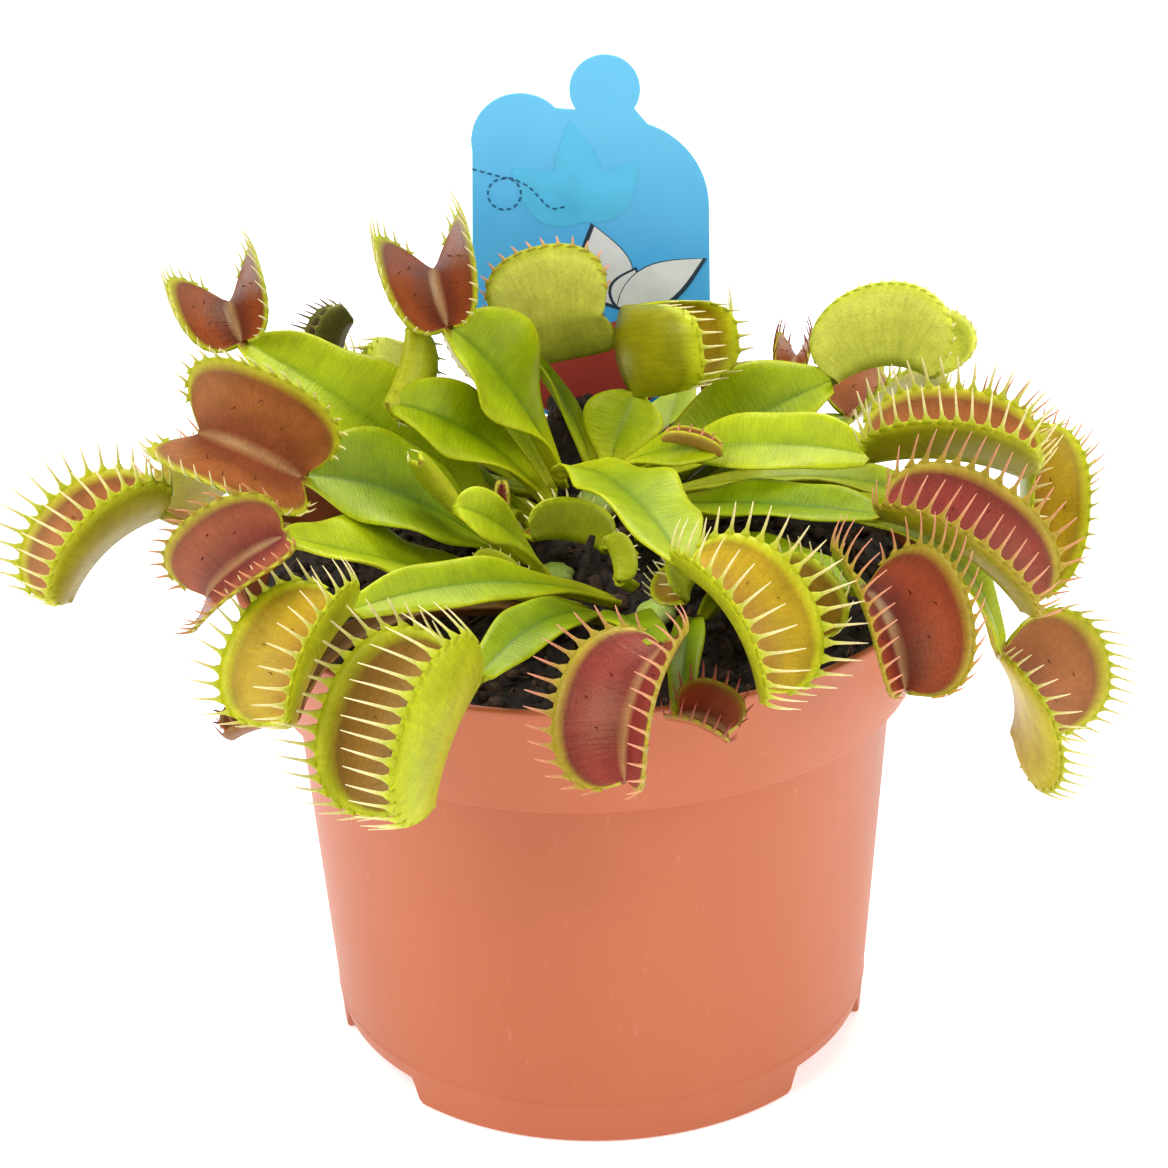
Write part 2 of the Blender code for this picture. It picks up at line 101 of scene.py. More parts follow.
STALKS = {
    "dead_stalk": (((-1.4, -11.0, 64.2), (-1.2, -10.4, 66.5), (-0.4, -9.6, 69.0), (0.4, -9.0, 71.6)), 0.7),
    "dead_stub": (((8.6, -9.0, 64.5), (8.9, -9.4, 66.4), (9.0, -10.2, 68.6)), 0.9),
}

# One row a leaf. base and neck are the two ends of the petiole. arch and bow bend it up and to its left,
# width is the blade's, twist turns it about its midrib. heading, pitch and roll point the trap's hinge and
# its mouth, gape is the angle between the lobes, then come the hinge's length, the lobe's width, the hinge's
# bend and the lobes' inward curl. A leaf's node is its name here after leaf_.
COLUMNS = ("base", "neck", "arch", "bow", "width", "twist", "heading", "pitch", "roll", "gape")
COLUMNS += ("hinge", "lobe", "bend", "curl")
LEAVES = {
    "far_left": ((-9, -3, 64), (-52, -11.5, 77.3), -2, -3, 6, 0, 215, -30, 15, 95, 15.5, 10, 50, 35),
    "left_large": ((-9, -5, 65), (-34.5, -13, 82.2), 3.5, 0, 16.8, 30, 160, 18, -45, 85, 14, 11.5, 55, 35),
    "left_red": ((-8.5, -8.5, 64), (-35.5, -28, 81), 0, 0, 13, 15, 170, -40, -50, 95, 13, 8, 60, 35),
    "front_left": ((3, -13, 64.5), (-28, -36, 75), 3, 0, 7, 35, 235, -40, 25, 105, 14, 11, 30, 35),
    "front_big": ((3, -16, 63), (-13, -48.2, 72), 4, 0, 7, 20, 235, -50, 30, 85, 14.5, 15.7, 25, 60),
    "front_red": ((6, -17.5, 63), (8, -47, 75), 2.5, -3, 6, 0, 245, -45, 25, 120, 16.5, 9, 65, 35),
    "front_small": ((12.5, -16, 62.8), (9.6, -47, 66.2), 4, 0, 4, 0, 340, -15, 10, 100, 5.5, 5, 50, 35),
    "front_green": ((-3.5, 7, 73.5), (11, -36, 79), 4, 0, 13, 10, 315, -45, -15, 105, 16.5, 9.5, 60, 35),
    "right_red": ((6.5, 3, 65.5), (32, -26, 71), 1.5, 0, 8, 0, 285, -25, -10, 80, 15.5, 10.5, 55, 35),
    "right_crimson": ((5.5, 6.5, 68.3), (36, -14, 75.2), 1, 0, 9, -10, 340, -30, 0, 103, 20, 10.3, 45, 35),
    "right_olive": ((6, 9, 72.5), (36, 0, 77), 2.5, 0, 10, -30, 352, -5, 0, 78, 18.5, 9, 36, 35),
    "right_pale": ((8.5, 11.5, 67.5), (54.5, 6, 56.5), 9, 0, 8, 0, 80, 50, 45, 70, 20, 9, 25, 35),
    "right_high": ((7, 14.5, 68.5), (33, 22, 79), 0, 1.5, 14.6, -30, 320, 15, -40, 44, 16, 10.5, 65, 35),
    "back_closed": ((3, 13, 71), (6.5, 17, 79.8), 1, 0, 11, -20, 110, 72, 48, 50, 11.5, 16.5, -60, 70),
    "back_turned": ((0.5, 14.5, 71), (-10, 18, 88), 1, -2.5, 4, 0, 5, 10, -80, 140, 13.5, 9.5, 70, 35),
    "back_open": ((-3, 10.5, 70), (-17, 8, 93), 3, 0, 17, 35, 100, 20, -15, 75, 11.5, 10, 50, 35),
    "upper_left": ((-8, -1, 64.5), (-43, 10, 91), 3, 0, 14, 30, 105, 20, -20, 80, 8, 9.5, 45, 35),
    "left_dark": ((-4, 8.4, 69.8), (-32, 22, 83), -3, 3, 3, 0, 60, 60, -40, 60, 6, 5, 45, 35),
    "left_folded": ((-4, 5.5, 68.5), (-24.5, 0.8, 85.8), 3.2, 0, 11, 40, 70, 40, 150, 10, 10.5, 5.5, 25, 70),
    "right_hanging": ((8.2, 7, 66), (50.3, -14, 56), 12.5, 0, 8, 0, 40, -75, 70, 85, 12.5, 12.5, 50, 35),
    "front_old": ((-3, -12.5, 62.8), (-35, -37, 62), 8, 0, 4, 0, 192, -8, -20, 55, 7.2, 4, 40, 50),
    "front_dark": ((14, -13.5, 62.6), (20, -27, 71), 2, 0, 5, 0, 310, -15, 0, 70, 9, 7, 50, 35),
    "left_purple": ((-6.2, 3.4, 66.4), (-26, 12.5, 79.5), 1.5, 0, 4, 0, 120, 50, -30, 60, 5, 4, 40, 35),
    "left_young": ((-8.5, -8, 68.5), (-16, -11.5, 77), 0, 0, 2.2, 0, 202, 57, 90, 50, 8, 3, 25, 40),
    "spoon": ((-5, -11, 66.6), (-15.7, -17, 79.4), 2, 0, 7, 50, 0, 0, 0, 60, 0, 0, 30, 35),
    "bud_left": ((-8.9, 2.6, 69), (-10.7, -3, 71.4), 1, 0, 2.2, 0, 90, 75, 0, 60, 4.5, 1.7, 20, 60),
    "centre_dark": ((5.6, -4.2, 66), (1.6, -3.4, 67.5), 0.6, 0, 3, 0, 190, 15, 60, 80, 9, 5, 40, 35),
    "tiny_left": ((-6.8, -9.8, 65), (-9.8, -12.5, 67.3), 1, 0, 2.2, 0, 185, 30, 60, 60, 5, 2.6, 40, 40),
    "tiny_right": ((-1, -14, 64.2), (-11, -15.5, 68), 0.5, 1.5, 2.2, 0, 345, 8, 0, 60, 4, 2.2, 40, 40),
    "young_right": ((11, -9, 64), (13, -21, 72), 2, 0, 4, 0, 250, -10, 60, 60, 6, 4.5, 40, 35),
    "bud_right": ((4.5, 6, 74.5), (16.5, 1, 78), 1, 0, 6, -30, 172, 15, 0, 60, 7, 2, 20, 60),
    "back_brown": ((8, 22, 67), (17.5, 30, 71), 1, 0, 6, 0, 100, 60, 0, 60, 8, 5, 40, 35),
    "back_right": ((11.5, 18.5, 67), (27.5, 29.5, 75.5), 0, 0, 4, 0, 80, 10, 0, 60, 7, 5, 40, 35),
    "back_left": ((-5, 15, 67.5), (-19, 20.8, 78), 2, -3.5, 4, 30, 150, 50, -120, 60, 9, 8, 40, 35),
    "tiny_centre": ((5, -8.5, 64.5), (3.5, -11, 66.7), 0, 0, 2.2, 0, 120, 60, 90, 60, 5, 2.6, 30, 40),
    "rear_left": ((-5, 15, 65.5), (-33, 32, 71), 4, 0, 8, 0, 140, -20, 0, 80, 14, 10, 50, 35),
    "rear_left_low": ((-6.5, 11.5, 65.8), (-42, 22, 67), 3, 0, 8, 0, 160, -30, 0, 85, 14, 10, 55, 35),
    "rear_middle_left": ((-8.6, 19, 65.4), (-13, 48.6, 70), 1, 0, 6, 0, 95, -25, 0, 80, 14, 10, 50, 35),
    "rear_middle_right": ((8.5, 21, 64.8), (14, 48.6, 70), 1, 0, 6, 0, 85, -25, 0, 80, 14, 10, 50, 35),
    "rear_right": ((11, 15, 65.2), (36, 34, 68.5), 1, 0, 8, 0, 50, -20, 0, 80, 13, 10, 50, 35),
    "rear_right_low": ((9.5, 11, 65), (51, 28.5, 65), 4.5, 0, 8, 0, 20, -35, 0, 85, 14, 10, 55, 35),
}

# ---- colours, as sRGB
# A trap's inner face: mid lobe, beside the hinge, and the margin.
INNERS = {
    "tan": ((164, 96, 50), (140, 72, 46), (184, 184, 34)),
    "olive": ((158, 122, 36), (140, 98, 36), (178, 188, 20)),
    "bronze": ((142, 100, 34), (114, 68, 32), (180, 188, 22)),
    "gold": ((186, 154, 30), (166, 120, 36), (192, 198, 26)),
    "crimson": ((138, 50, 46), (122, 38, 38), (176, 158, 48)),
    "maroon": ((146, 60, 34), (106, 30, 26), (164, 148, 40)),
    "plum": ((158, 80, 58), (122, 52, 48), (176, 172, 44)),
    "pale": ((200, 204, 56), (182, 188, 44), (200, 206, 60)),
    "brown": ((140, 66, 30), (106, 46, 30), (174, 178, 30)),
    "dark": ((84, 66, 40), (70, 48, 38), (104, 108, 36)),
    "dead": ((132, 82, 48), (104, 62, 38), (140, 100, 50)),
}
OUTERS = {
    "olive": (142, 140, 14),
    "bright": (176, 184, 34),
    "pale": (206, 208, 84),
    "green": (138, 150, 18),
    "red": (150, 78, 44),
    "sandy": (180, 140, 64),
    "dark": (88, 86, 36),
    "dead": (134, 88, 50),
}
# A petiole: its base and edges, its blade, and the darker band along its midrib.
PETIOLES = {
    "bright": ((196, 198, 26), (158, 174, 6), (98, 128, 6)),
    "green": ((178, 186, 22), (132, 152, 4), (76, 108, 4)),
    "light": ((200, 204, 40), (172, 186, 16), (122, 146, 8)),
    "red": ((170, 156, 40), (152, 104, 36), (126, 68, 34)),
    "dead": ((134, 98, 54), (116, 74, 40), (96, 60, 34)),
}
TEETH = {
    "cream": ((184, 192, 28), (242, 224, 168)),
    "pink": ((172, 152, 44), (222, 142, 120)),
    "red": ((150, 80, 50), (132, 44, 46)),
    "purple": ((140, 140, 60), (90, 44, 60)),
}
# One row a leaf: the trap's inner and outer face, the petiole, the teeth, and the teeth's length.
LOOKS = {
    "far_left": ("tan", "olive", "red", "cream", 4.3),
    "left_large": ("tan", "green", "green", "cream", 3.5),
    "left_red": ("plum", "green", "light", "pink", 3.1),
    "front_left": ("gold", "bright", "bright", "cream", 3.9),
    "front_big": ("bronze", "bright", "green", "cream", 5.1),
    "front_red": ("crimson", "red", "green", "pink", 3.9),
    "front_small": ("maroon", "red", "green", "red", 2.3),
    "front_green": ("gold", "bright", "bright", "cream", 5.1),
    "right_red": ("maroon", "green", "green", "pink", 4.3),
    "right_crimson": ("crimson", "olive", "green", "pink", 4.3),
    "right_olive": ("tan", "olive", "light", "cream", 4.3),
    "right_pale": ("gold", "bright", "light", "cream", 2.2),
    "right_high": ("pale", "pale", "bright", "cream", 1.0),
    "back_closed": ("gold", "olive", "light", "cream", 2.5),
    "back_turned": ("brown", "pale", "green", "pink", 2.0),
    "back_open": ("brown", "olive", "bright", "cream", 3.1),
    "upper_left": ("brown", "pale", "light", "cream", 3.1),
    "left_dark": ("dark", "dark", "green", "purple", 2.3),
    "left_folded": ("olive", "bright", "bright", "cream", 2.0),
    "right_hanging": ("tan", "pale", "light", "cream", 3.5),
    "front_old": ("dead", "dead", "dead", "red", 2.3),
    "front_dark": ("olive", "green", "green", "cream", 2.3),
    "left_purple": ("dark", "dark", "green", "purple", 1.6),
    "left_young": ("olive", "bright", "light", "cream", 1.6),
    "spoon": ("pale", "pale", "light", "cream", 0.0),
    "bud_left": ("plum", "red", "light", "pink", 0.9),
    "centre_dark": ("olive", "green", "green", "cream", 1.6),
    "tiny_left": ("pale", "bright", "light", "cream", 0.9),
    "tiny_right": ("pale", "bright", "light", "cream", 0.9),
    "young_right": ("olive", "green", "green", "cream", 1.6),
    "bud_right": ("tan", "sandy", "light", "pink", 0.8),
    "back_brown": ("dead", "dead", "dead", "red", 2.3),
    "back_right": ("tan", "olive", "green", "red", 2.7),
    "back_left": ("olive", "pale", "light", "cream", 2.7),
    "tiny_centre": ("pale", "bright", "light", "cream", 0.9),
    "rear_left": ("tan", "bright", "green", "cream", 3.5),
    "rear_left_low": ("crimson", "olive", "green", "pink", 3.5),
    "rear_middle_left": ("maroon", "olive", "green", "pink", 3.5),
    "rear_middle_right": ("olive", "bright", "light", "cream", 3.5),
    "rear_right": ("tan", "olive", "green", "cream", 3.5),
    "rear_right_low": ("plum", "green", "green", "pink", 3.5),
}

# ---- camera
CAMERA_PLACE = (0.0, -0.34426, 0.22346)
CAMERA_YAW = -0.00252
CAMERA_PITCH = math.radians(25.287)
CAMERA_ROLL = math.radians(-1.681)
SENSOR_WIDTH = 36.0
LENS = 92.47

# ---- fineness and small features
PETIOLE_ROWS = 26
TRAP_ROWS = 33
HALF_COLUMNS = 10
SMALL_HALF_COLUMNS = 6
SMALL_HINGE = 7
TRAP_END = 0.1
HINGE_LINE = (200, 162, 104)
TOOTH_SPACING = 1.8
FULL_TEETH_HINGE = 12
HALF_TISSUE = 0.30
TISSUE_SPACING = 7.0
CROWN_GREENS = ((206, 210, 140), (150, 176, 70))
STALK_TINT = (0.55, 0.45, 0.4)
PEAT_GAP = 0.4
CLODS = 900
FIBRES = 260
# An ink's thickness, how far out the first one stands, and each one's step beyond the one before.
INK = 0.04
INK_GAP = 0.03
INK_STEP = 0.006
# The print's leaf shapes, each (turn, length, width), and the points that they spread from.
SPRIG = ((104, 12.5, 7.4), (64, 6.5, 4.4), (29, 14.0, 6.4))
SPRIG_ROOT = (4.6, 85.6)
SPRIG_LINE_ROOT = (4.4, 85.2)
SHADES = ((48, 11, 6.0), (96, 14, 6.5), (141, 12, 7.0))
SHADE_ROOT = (0.5, 97.5)
# How much longer and wider a sprig's dark line is than its white.
SPRIG_LINE = (0.9, 0.8)
# The dashed line: a dash's length, the gap and its width. It makes one loop.
DASH = (0.62, 0.42, 0.24)
LOOP_CENTRE = (-9.9, 101.7)
LOOP_RADIUS = 2.2
INKS = {
    "ground": (196, 74, 64),
    "shade": (88, 200, 248),
    "line": (40, 62, 84),
    "white": (236, 240, 242),
    "dash": (24, 92, 140),
}
RED_LEAVES = ("left_red", "front_red", "front_small", "right_red", "right_crimson")
FLOOR_SIZE = 60
FLOOR_DROP = 0.0001
LIGHT_AIM = (0, 0, 0.07)


# ---- small helpers
def unit(v):
    return v / np.linalg.norm(v, axis=-1, keepdims=True)


def linear(colour):
    """Linear RGB of an sRGB colour given as 0 to 255."""
    c = np.array(colour, float) / 255
    return np.where(c <= 0.04045, c / 12.92, ((c + 0.055) / 1.055) ** 2.4)


def smooth(low, high, x):
    s = np.clip((x - low) / (high - low), 0, 1)
    return s * s * (3 - 2 * s)


def level_ring(radius, turns, z, x=0.0, y=0.0):
    """Points round a circle in a level plane. radius and z may differ from angle to angle."""
    z = np.broadcast_to(z, turns.shape)
    return np.stack([x + radius * np.cos(turns), y + radius * np.sin(turns), z], -1)


def angles(sides):
    return 2 * np.pi * np.arange(sides) / sides


def blend_colours(a, b, weight):
    weight = np.asarray(weight)[..., None]
    return a * (1 - weight) + b * weight


class Shape:
    """Points, faces and per-point values of one mesh, gathered patch by patch. Points are in millimetres."""

    def __init__(self):
        self.points = []
        self.faces = []
        self.tints = []
        self.grains = []
        self.count = 0

    def add(self, points, faces, tints, grains=None):
        """tints is a linear colour a point or one for all, grains is where the fine patterns are drawn."""
        points = np.asarray(points, float).reshape(-1, 3)
        self.points.append(points)
        self.faces.extend(tuple(self.count + i for i in face) for face in faces)
        self.tints.append(np.broadcast_to(np.asarray(tints, float).reshape(-1, 3), points.shape))
        self.grains.append(points if grains is None else np.asarray(grains, float).reshape(-1, 3))
        self.count += len(points)

    def build(self, name, look):
        mesh = bpy.data.meshes.new(name)
        mesh.from_pydata((np.concatenate(self.points) * MM).tolist(), [], self.faces)
        mesh.update()
        mesh.shade_smooth()
        tints = np.concatenate(self.tints)
        tint = mesh.attributes.new("tint", "FLOAT_COLOR", "POINT")
        tint.data.foreach_set("color", np.column_stack([tints, np.ones(len(tints))]).ravel())
        grain = mesh.attributes.new("grain", "FLOAT_VECTOR", "POINT")
        grain.data.foreach_set("vector", np.concatenate(self.grains).ravel())
        mesh.materials.append(look)
        return new_object(name, mesh)


def new_object(name, data):
    thing = bpy.data.objects.new(name, data)
    bpy.context.scene.collection.objects.link(thing)
    return thing


def place(thing, node, slot):
    """The piece stands for a CAD node, whose own mesh is hidden, and rides with the root; slot is not used.
    """
    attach(thing, "root")
    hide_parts(node)


def grid_faces(rows, columns, closed=False):
    """Quads of a grid of points, row by row, wrapped round if closed."""
    faces = []
    for i in range(rows - 1):
        for j in range(columns if closed else columns - 1):
            a = i * columns + j
            b = i * columns + (j + 1) % columns
            faces.append((a, b, b + columns, a + columns))
    return faces


def flipped(faces):
    return [tuple(reversed(face)) for face in faces]


def tube_faces(rings, sides):
    """A closed tube of rings that run counterclockwise, from its foot up."""
    last = (rings - 1) * sides
    ends = [tuple(reversed(range(sides))), tuple(range(last, last + sides))]
    return grid_faces(rings, sides, closed=True) + ends


def ball_faces(rings, sides):
    """A closed ball, from its foot up, whose two poles are the points after its rings."""
    foot, tip = rings * sides, rings * sides + 1
    last = foot - sides
    faces = grid_faces(rings, sides, closed=True)
    faces += [(foot, (j + 1) % sides, j) for j in range(sides)]
    return faces + [(tip, last + j, last + (j + 1) % sides) for j in range(sides)]


def spike(shape, root, way, lean, length, width, colours, flat=0.7, sides=6, rings=6, across=None,
          splay=0.0, bend=0.28):
    """A tapered hair or tooth from root along way, bending towards lean, closed at both ends."""
    way = unit(way)
    side = unit(np.cross(way, lean) if across is None else across - (across @ way) * way)
    other = np.cross(side, way)
    turns = angles(sides)
    points = []
    tints = []
    for k in range(rings):
        s = (k / (rings - 1)) ** 1.4
        centre = root + way * length * s + lean * length * bend * s * s
        radius = width / 2 * (1 - s) ** 0.75 + 0.05
        flare = 1 + splay * math.exp(-((s / 0.16) ** 2))
        points.append(centre + radius * (flare * np.cos(turns)[:, None] * side
                                         + flat * np.sin(turns)[:, None] * other))
        tints.append(np.repeat(blend_colours(colours[0], colours[1], smooth(0.1, 0.75, s))[None], sides, 0))
    shape.add(np.concatenate(points), flipped(tube_faces(rings, sides)), np.concatenate(tints))


# ---- materials
class Nodes:
    """Adds shader nodes to one material and links them."""

    def __init__(self, name):
        self.material = bpy.data.materials.new(name)
        self.material.use_nodes = True
        self.tree = self.material.node_tree
        self.shader = self.tree.nodes["Principled BSDF"]

    def add(self, kind, **values):
        node = self.tree.nodes.new("ShaderNode" + kind)
        for key, value in values.items():
            setattr(node, key, value)
        return node

    def link(self, source, target):
        self.tree.links.new(source, target)

    def put(self, value, target):
        """Links the target to a socket, or sets its own value."""
        if isinstance(value, bpy.types.NodeSocket):
            self.link(value, target)
        else:
            target.default_value = value

    def noise(self, place, scale, detail=3.0, rough=0.55):
        node = self.add("TexNoise")
        for name, value in (("Scale", scale), ("Detail", detail), ("Roughness", rough)):
            node.inputs[name].default_value = value
        self.link(place, node.inputs["Vector"])
        return node.outputs["Fac"]

    def stretched(self, place, scale):
        node = self.add("Mapping")
        node.inputs["Scale"].default_value = scale
        self.link(place, node.inputs["Vector"])
        return node.outputs["Vector"]

    def span(self, value, low, high, to_low, to_high):
        node = self.add("MapRange")
        names = ("From Min", "From Max", "To Min", "To Max")
        for name, number in zip(names, (low, high, to_low, to_high)):
            node.inputs[name].default_value = number
        self.link(value, node.inputs["Value"])
        return node.outputs["Result"]

    def mix(self, weight, a, b, mode="MIX"):
        node = self.add("Mix", data_type="RGBA", blend_type=mode)
        for socket, value in (("Factor", weight), ("A", a), ("B", b)):
            self.put(value, [s for s in node.inputs if s.name == socket and s.enabled][0])
        return [s for s in node.outputs if s.enabled][0]

    def maths(self, operation, a, b):
        node = self.add("Math", operation=operation)
        for target, value in zip(node.inputs, (a, b)):
            self.put(value, target)
        return node.outputs[0]

    def bump(self, height, strength, distance):
        node = self.add("Bump")
        node.inputs["Strength"].default_value = strength
        node.inputs["Distance"].default_value = distance
        self.link(height, node.inputs["Height"])
        self.link(node.outputs["Normal"], self.shader.inputs["Normal"])

    def feed(self, name, source):
        self.link(source, self.shader.inputs[name])

    def object_place(self):
        return self.add("TexCoord").outputs["Object"]

    def attribute(self, name, output):
        node = self.add("Attribute", attribute_name=name)
        return node.outputs[output]

    def set(self, **values):
        for key, value in values.items():
            self.shader.inputs[key.replace("_", " ")].default_value = value


def shaded(made, colour, pattern, low, high, dark, light):
    """colour times a grey that runs from dark to light as the pattern goes from low to high."""
    greys = made.mix(made.span(pattern, low, high, 0, 1), (dark, dark, dark, 1), (light, light, light, 1))
    return made.mix(1.0, colour, greys, "MULTIPLY")


def leaf_material():
    """Satin leaf: its points' own colour, mottled, with veins that run out from the midrib."""
    made = Nodes("leaf_tissue")
    grain = made.attribute("grain", "Vector")
    tint = made.attribute("tint", "Color")
    mottle = made.noise(grain, 0.35, 4.0)
    veins = made.noise(made.stretched(grain, (2.6, 0.22, 1.0)), 1.0, 3.0)
    cells = made.noise(grain, 3.2, 2.0)
    patches = shaded(made, tint, mottle, 0.3, 0.7, 0.86, 1.14)
    veined = shaded(made, patches, veins, 0.35, 0.65, 0.93, 1.06)
    made.feed("Base Color", shaded(made, veined, cells, 0.3, 0.7, 0.91, 1.08))
    made.feed("Roughness", made.span(cells, 0.3, 0.7, 0.30, 0.44))
    relief = made.maths("ADD", veins, made.maths("MULTIPLY", cells, 0.6))
    made.bump(relief, 0.3, 0.00025)
    made.set(Subsurface_Weight=0.12, Subsurface_Radius=(1.0, 1.0, 0.1), Subsurface_Scale=0.0012)
    made.set(Specular_IOR_Level=0.32, Specular_Tint=(1.0, 0.96, 0.5, 1.0))
    return made.material


def pot_material():
    """Satin terracotta-coloured plastic: faint flow marks, small scuffs and a fine moulded grain."""
    made = Nodes("pot_plastic")
    place_at = made.object_place()
    flow = made.noise(made.stretched(place_at, (40, 40, 14)), 1.0, 3.0)
    cloud = made.noise(place_at, 28.0, 3.0)
    grain = made.noise(place_at, 2600.0, 2.0)
    scuffs = made.noise(made.stretched(place_at, (900, 900, 260)), 1.0, 2.0)
    colour = made.mix(made.span(cloud, 0.3, 0.7, 0, 1), (0.46, 0.116, 0.042, 1), (0.50, 0.130, 0.050, 1))
    streaked = made.mix(made.span(flow, 0.4, 0.62, 0, 0.45), colour, (0.54, 0.150, 0.062, 1))
    scuffed = made.mix(made.span(scuffs, 0.68, 0.78, 0, 0.35), streaked, (0.62, 0.24, 0.13, 1))
    made.feed("Base Color", scuffed)
    made.feed("Roughness", made.span(cloud, 0.3, 0.7, 0.36, 0.47))
    made.bump(made.maths("ADD", grain, made.maths("MULTIPLY", scuffs, 0.5)), 0.12, 0.0002)
    made.set(Specular_IOR_Level=0.36)
    return made.material


def peat_material():
    """Damp black peat with brown crumbs."""
    made = Nodes("peat_fibres")
    place_at = made.object_place()
    crumbs = made.noise(place_at, 620.0, 5.0, 0.7)
    clods = made.noise(place_at, 150.0, 3.0)
    colour = made.mix(made.span(crumbs, 0.4, 0.72, 0, 1), (0.012, 0.008, 0.006, 1), (0.085, 0.050, 0.030, 1))
    damp = made.mix(made.span(clods, 0.35, 0.7, 0, 0.6), colour, (0.020, 0.013, 0.010, 1))
    tint = made.attribute("tint", "Color")
    made.feed("Base Color", made.mix(1.0, damp, tint, "MULTIPLY"))
    made.feed("Roughness", made.span(clods, 0.35, 0.7, 0.6, 0.95))
    made.bump(crumbs, 0.9, 0.0009)
    return made.material


def printed_finish(made, place_at, cloud, smoothest, roughest):
    """The satin of printed plastic and the print's fine grain."""
    made.feed("Roughness", made.span(cloud, 0.3, 0.7, smoothest, roughest))
    made.bump(made.noise(place_at, 1500.0, 2.0), 0.08, 0.0001)


def label_material():
    """Thin printed plastic, lighter towards its top, faintly mottled."""
    made = Nodes("label_print")
    place_at = made.object_place()
    split = made.add("SeparateXYZ")
    made.link(place_at, split.inputs["Vector"])
    height = made.span(split.outputs["Z"], MM * LABEL_FOOT, MM * LABEL_TOP, 0, 1)
    cloud = made.noise(place_at, 90.0, 3.0)
    blue = made.mix(height, (0.04, 0.42, 0.85, 1), (0.15, 0.61, 0.94, 1))
    made.feed("Base Color", made.mix(made.span(cloud, 0.35, 0.65, 0, 0.3), blue, (0.16, 0.60, 0.91, 1)))
    printed_finish(made, place_at, cloud, 0.3, 0.42)
    made.set(Transmission_Weight=0.25, Subsurface_Weight=0.3, Subsurface_Radius=(1, 1, 1))
    made.set(Subsurface_Scale=0.001)
    return made.material


def ink_material(name, colour):
    """Printing ink: nearly flat colour with the print's fine grain."""
    made = Nodes(name)
    place_at = made.object_place()
    cloud = made.noise(place_at, 260.0, 3.0)
    light = linear(colour)
    dark = tuple(0.86 * light) + (1.0,)
    made.feed("Base Color", made.mix(made.span(cloud, 0.3, 0.7, 0, 1), dark, tuple(light) + (1.0,)))
    printed_finish(made, place_at, cloud, 0.32, 0.44)
    return made.material


# ---- leaves
def trap_axes(leaf):
    """Unit vectors along the hinge, out of the mouth, and across to the first lobe."""
    a, b, c = (math.radians(leaf[key]) for key in ("heading", "pitch", "roll"))
    along = np.array([math.cos(b) * math.cos(a), math.cos(b) * math.sin(a), math.sin(b)])
    level = unit(UP - (UP @ along) * along)
    out = level * math.cos(c) + np.cross(along, level) * math.sin(c)
    return along, out, np.cross(along, out)


def lobe_width(leaf, t):
    return leaf["lobe"] * (TRAP_END + (1 - TRAP_END) * (1 - np.abs(t) ** 2.6) ** 0.55)


def trap_points(leaf, t, v):
    """Points of the trap's middle surface: t runs -1 to 1 along the hinge, v from margin to margin."""
    bend = math.radians(leaf["bend"])
    radius = leaf["hinge"] / bend
    turn = bend * t / 2
    span = lobe_width(leaf, t)
    curl = math.radians(leaf["curl"])
    start = math.radians(leaf["gape"] + leaf["curl"]) / 2
    rise = (math.sin(start) - np.sin(start - curl * np.abs(v))) / curl
    reach = (np.cos(start - curl * np.abs(v)) - math.cos(start)) / curl
    fan = math.radians(TRAP_FAN) * t
    shift = (rise + LOBE_FLARE * reach) * np.sin(fan) * span
    lift = rise * np.cos(fan) * span
    x = radius * (np.sin(turn) + math.sin(bend / 2)) + shift * np.cos(turn) + lift * np.sin(turn)
    y = radius * (np.cos(turn) - math.cos(bend / 2)) - shift * np.sin(turn) + lift * np.cos(turn)
    z = np.sign(v) * reach * span
    along, out, first = trap_axes(leaf)
    return np.array(leaf["neck"], float) + x[..., None] * along + y[..., None] * out + z[..., None] * first


def blade_width(u, width):
    narrow = min(width, NECK_WIDTH)
    return narrow + (width - narrow) * math.sin(math.pi * u**1.25) ** 0.9


def petiole_points(leaf, stations, across, seed):
    """Points of the petiole's middle surface, a row a station, with a gently waved edge."""
    base = np.array(leaf["base"], float)
    neck = np.array(leaf["neck"], float)
    flat = unit((neck - base) * (1, 1, 0))
    middle = base + (neck - base) * leaf["lean"]
    middle = middle + 2 * leaf["arch"] * UP - 2 * leaf["bow"] * np.cross(flat, UP)
    length = np.linalg.norm(neck - base)
    rows = []
    widths = []
    for u in stations:
        centre = (1 - u) ** 2 * base + 2 * u * (1 - u) * middle + u * u * neck
        tangent = unit((1 - u) * (middle - base) + u * (neck - middle))
        side = unit(np.cross(tangent, UP))
        top = np.cross(side, tangent)
        turn = math.radians(leaf["twist"]) * min(1, TWIST_RATE * u)
        side, top = side * math.cos(turn) + top * math.sin(turn), top * math.cos(turn) - side * math.sin(turn)
        half = blade_width(u**SPOON_SHIFT if leaf["hinge"] == 0 else u, leaf["width"]) / 2
        roll = length * u
        bays = 1 + np.where(across == 0, 0, 0.05 * np.sin(0.45 * roll + 2.1 * seed + 1.9 * np.sign(across)))
        wave = 0.11 * half * np.sin(0.42 * roll + seed + 1.3 * np.sign(across)) * across**2
        lift = BLADE_FOLD * np.abs(across) * half + wave
        rows.append(centre + (half * bays * across)[:, None] * side + lift[:, None] * top)
        widths.append(half)
    return np.array(rows), np.array(widths), length


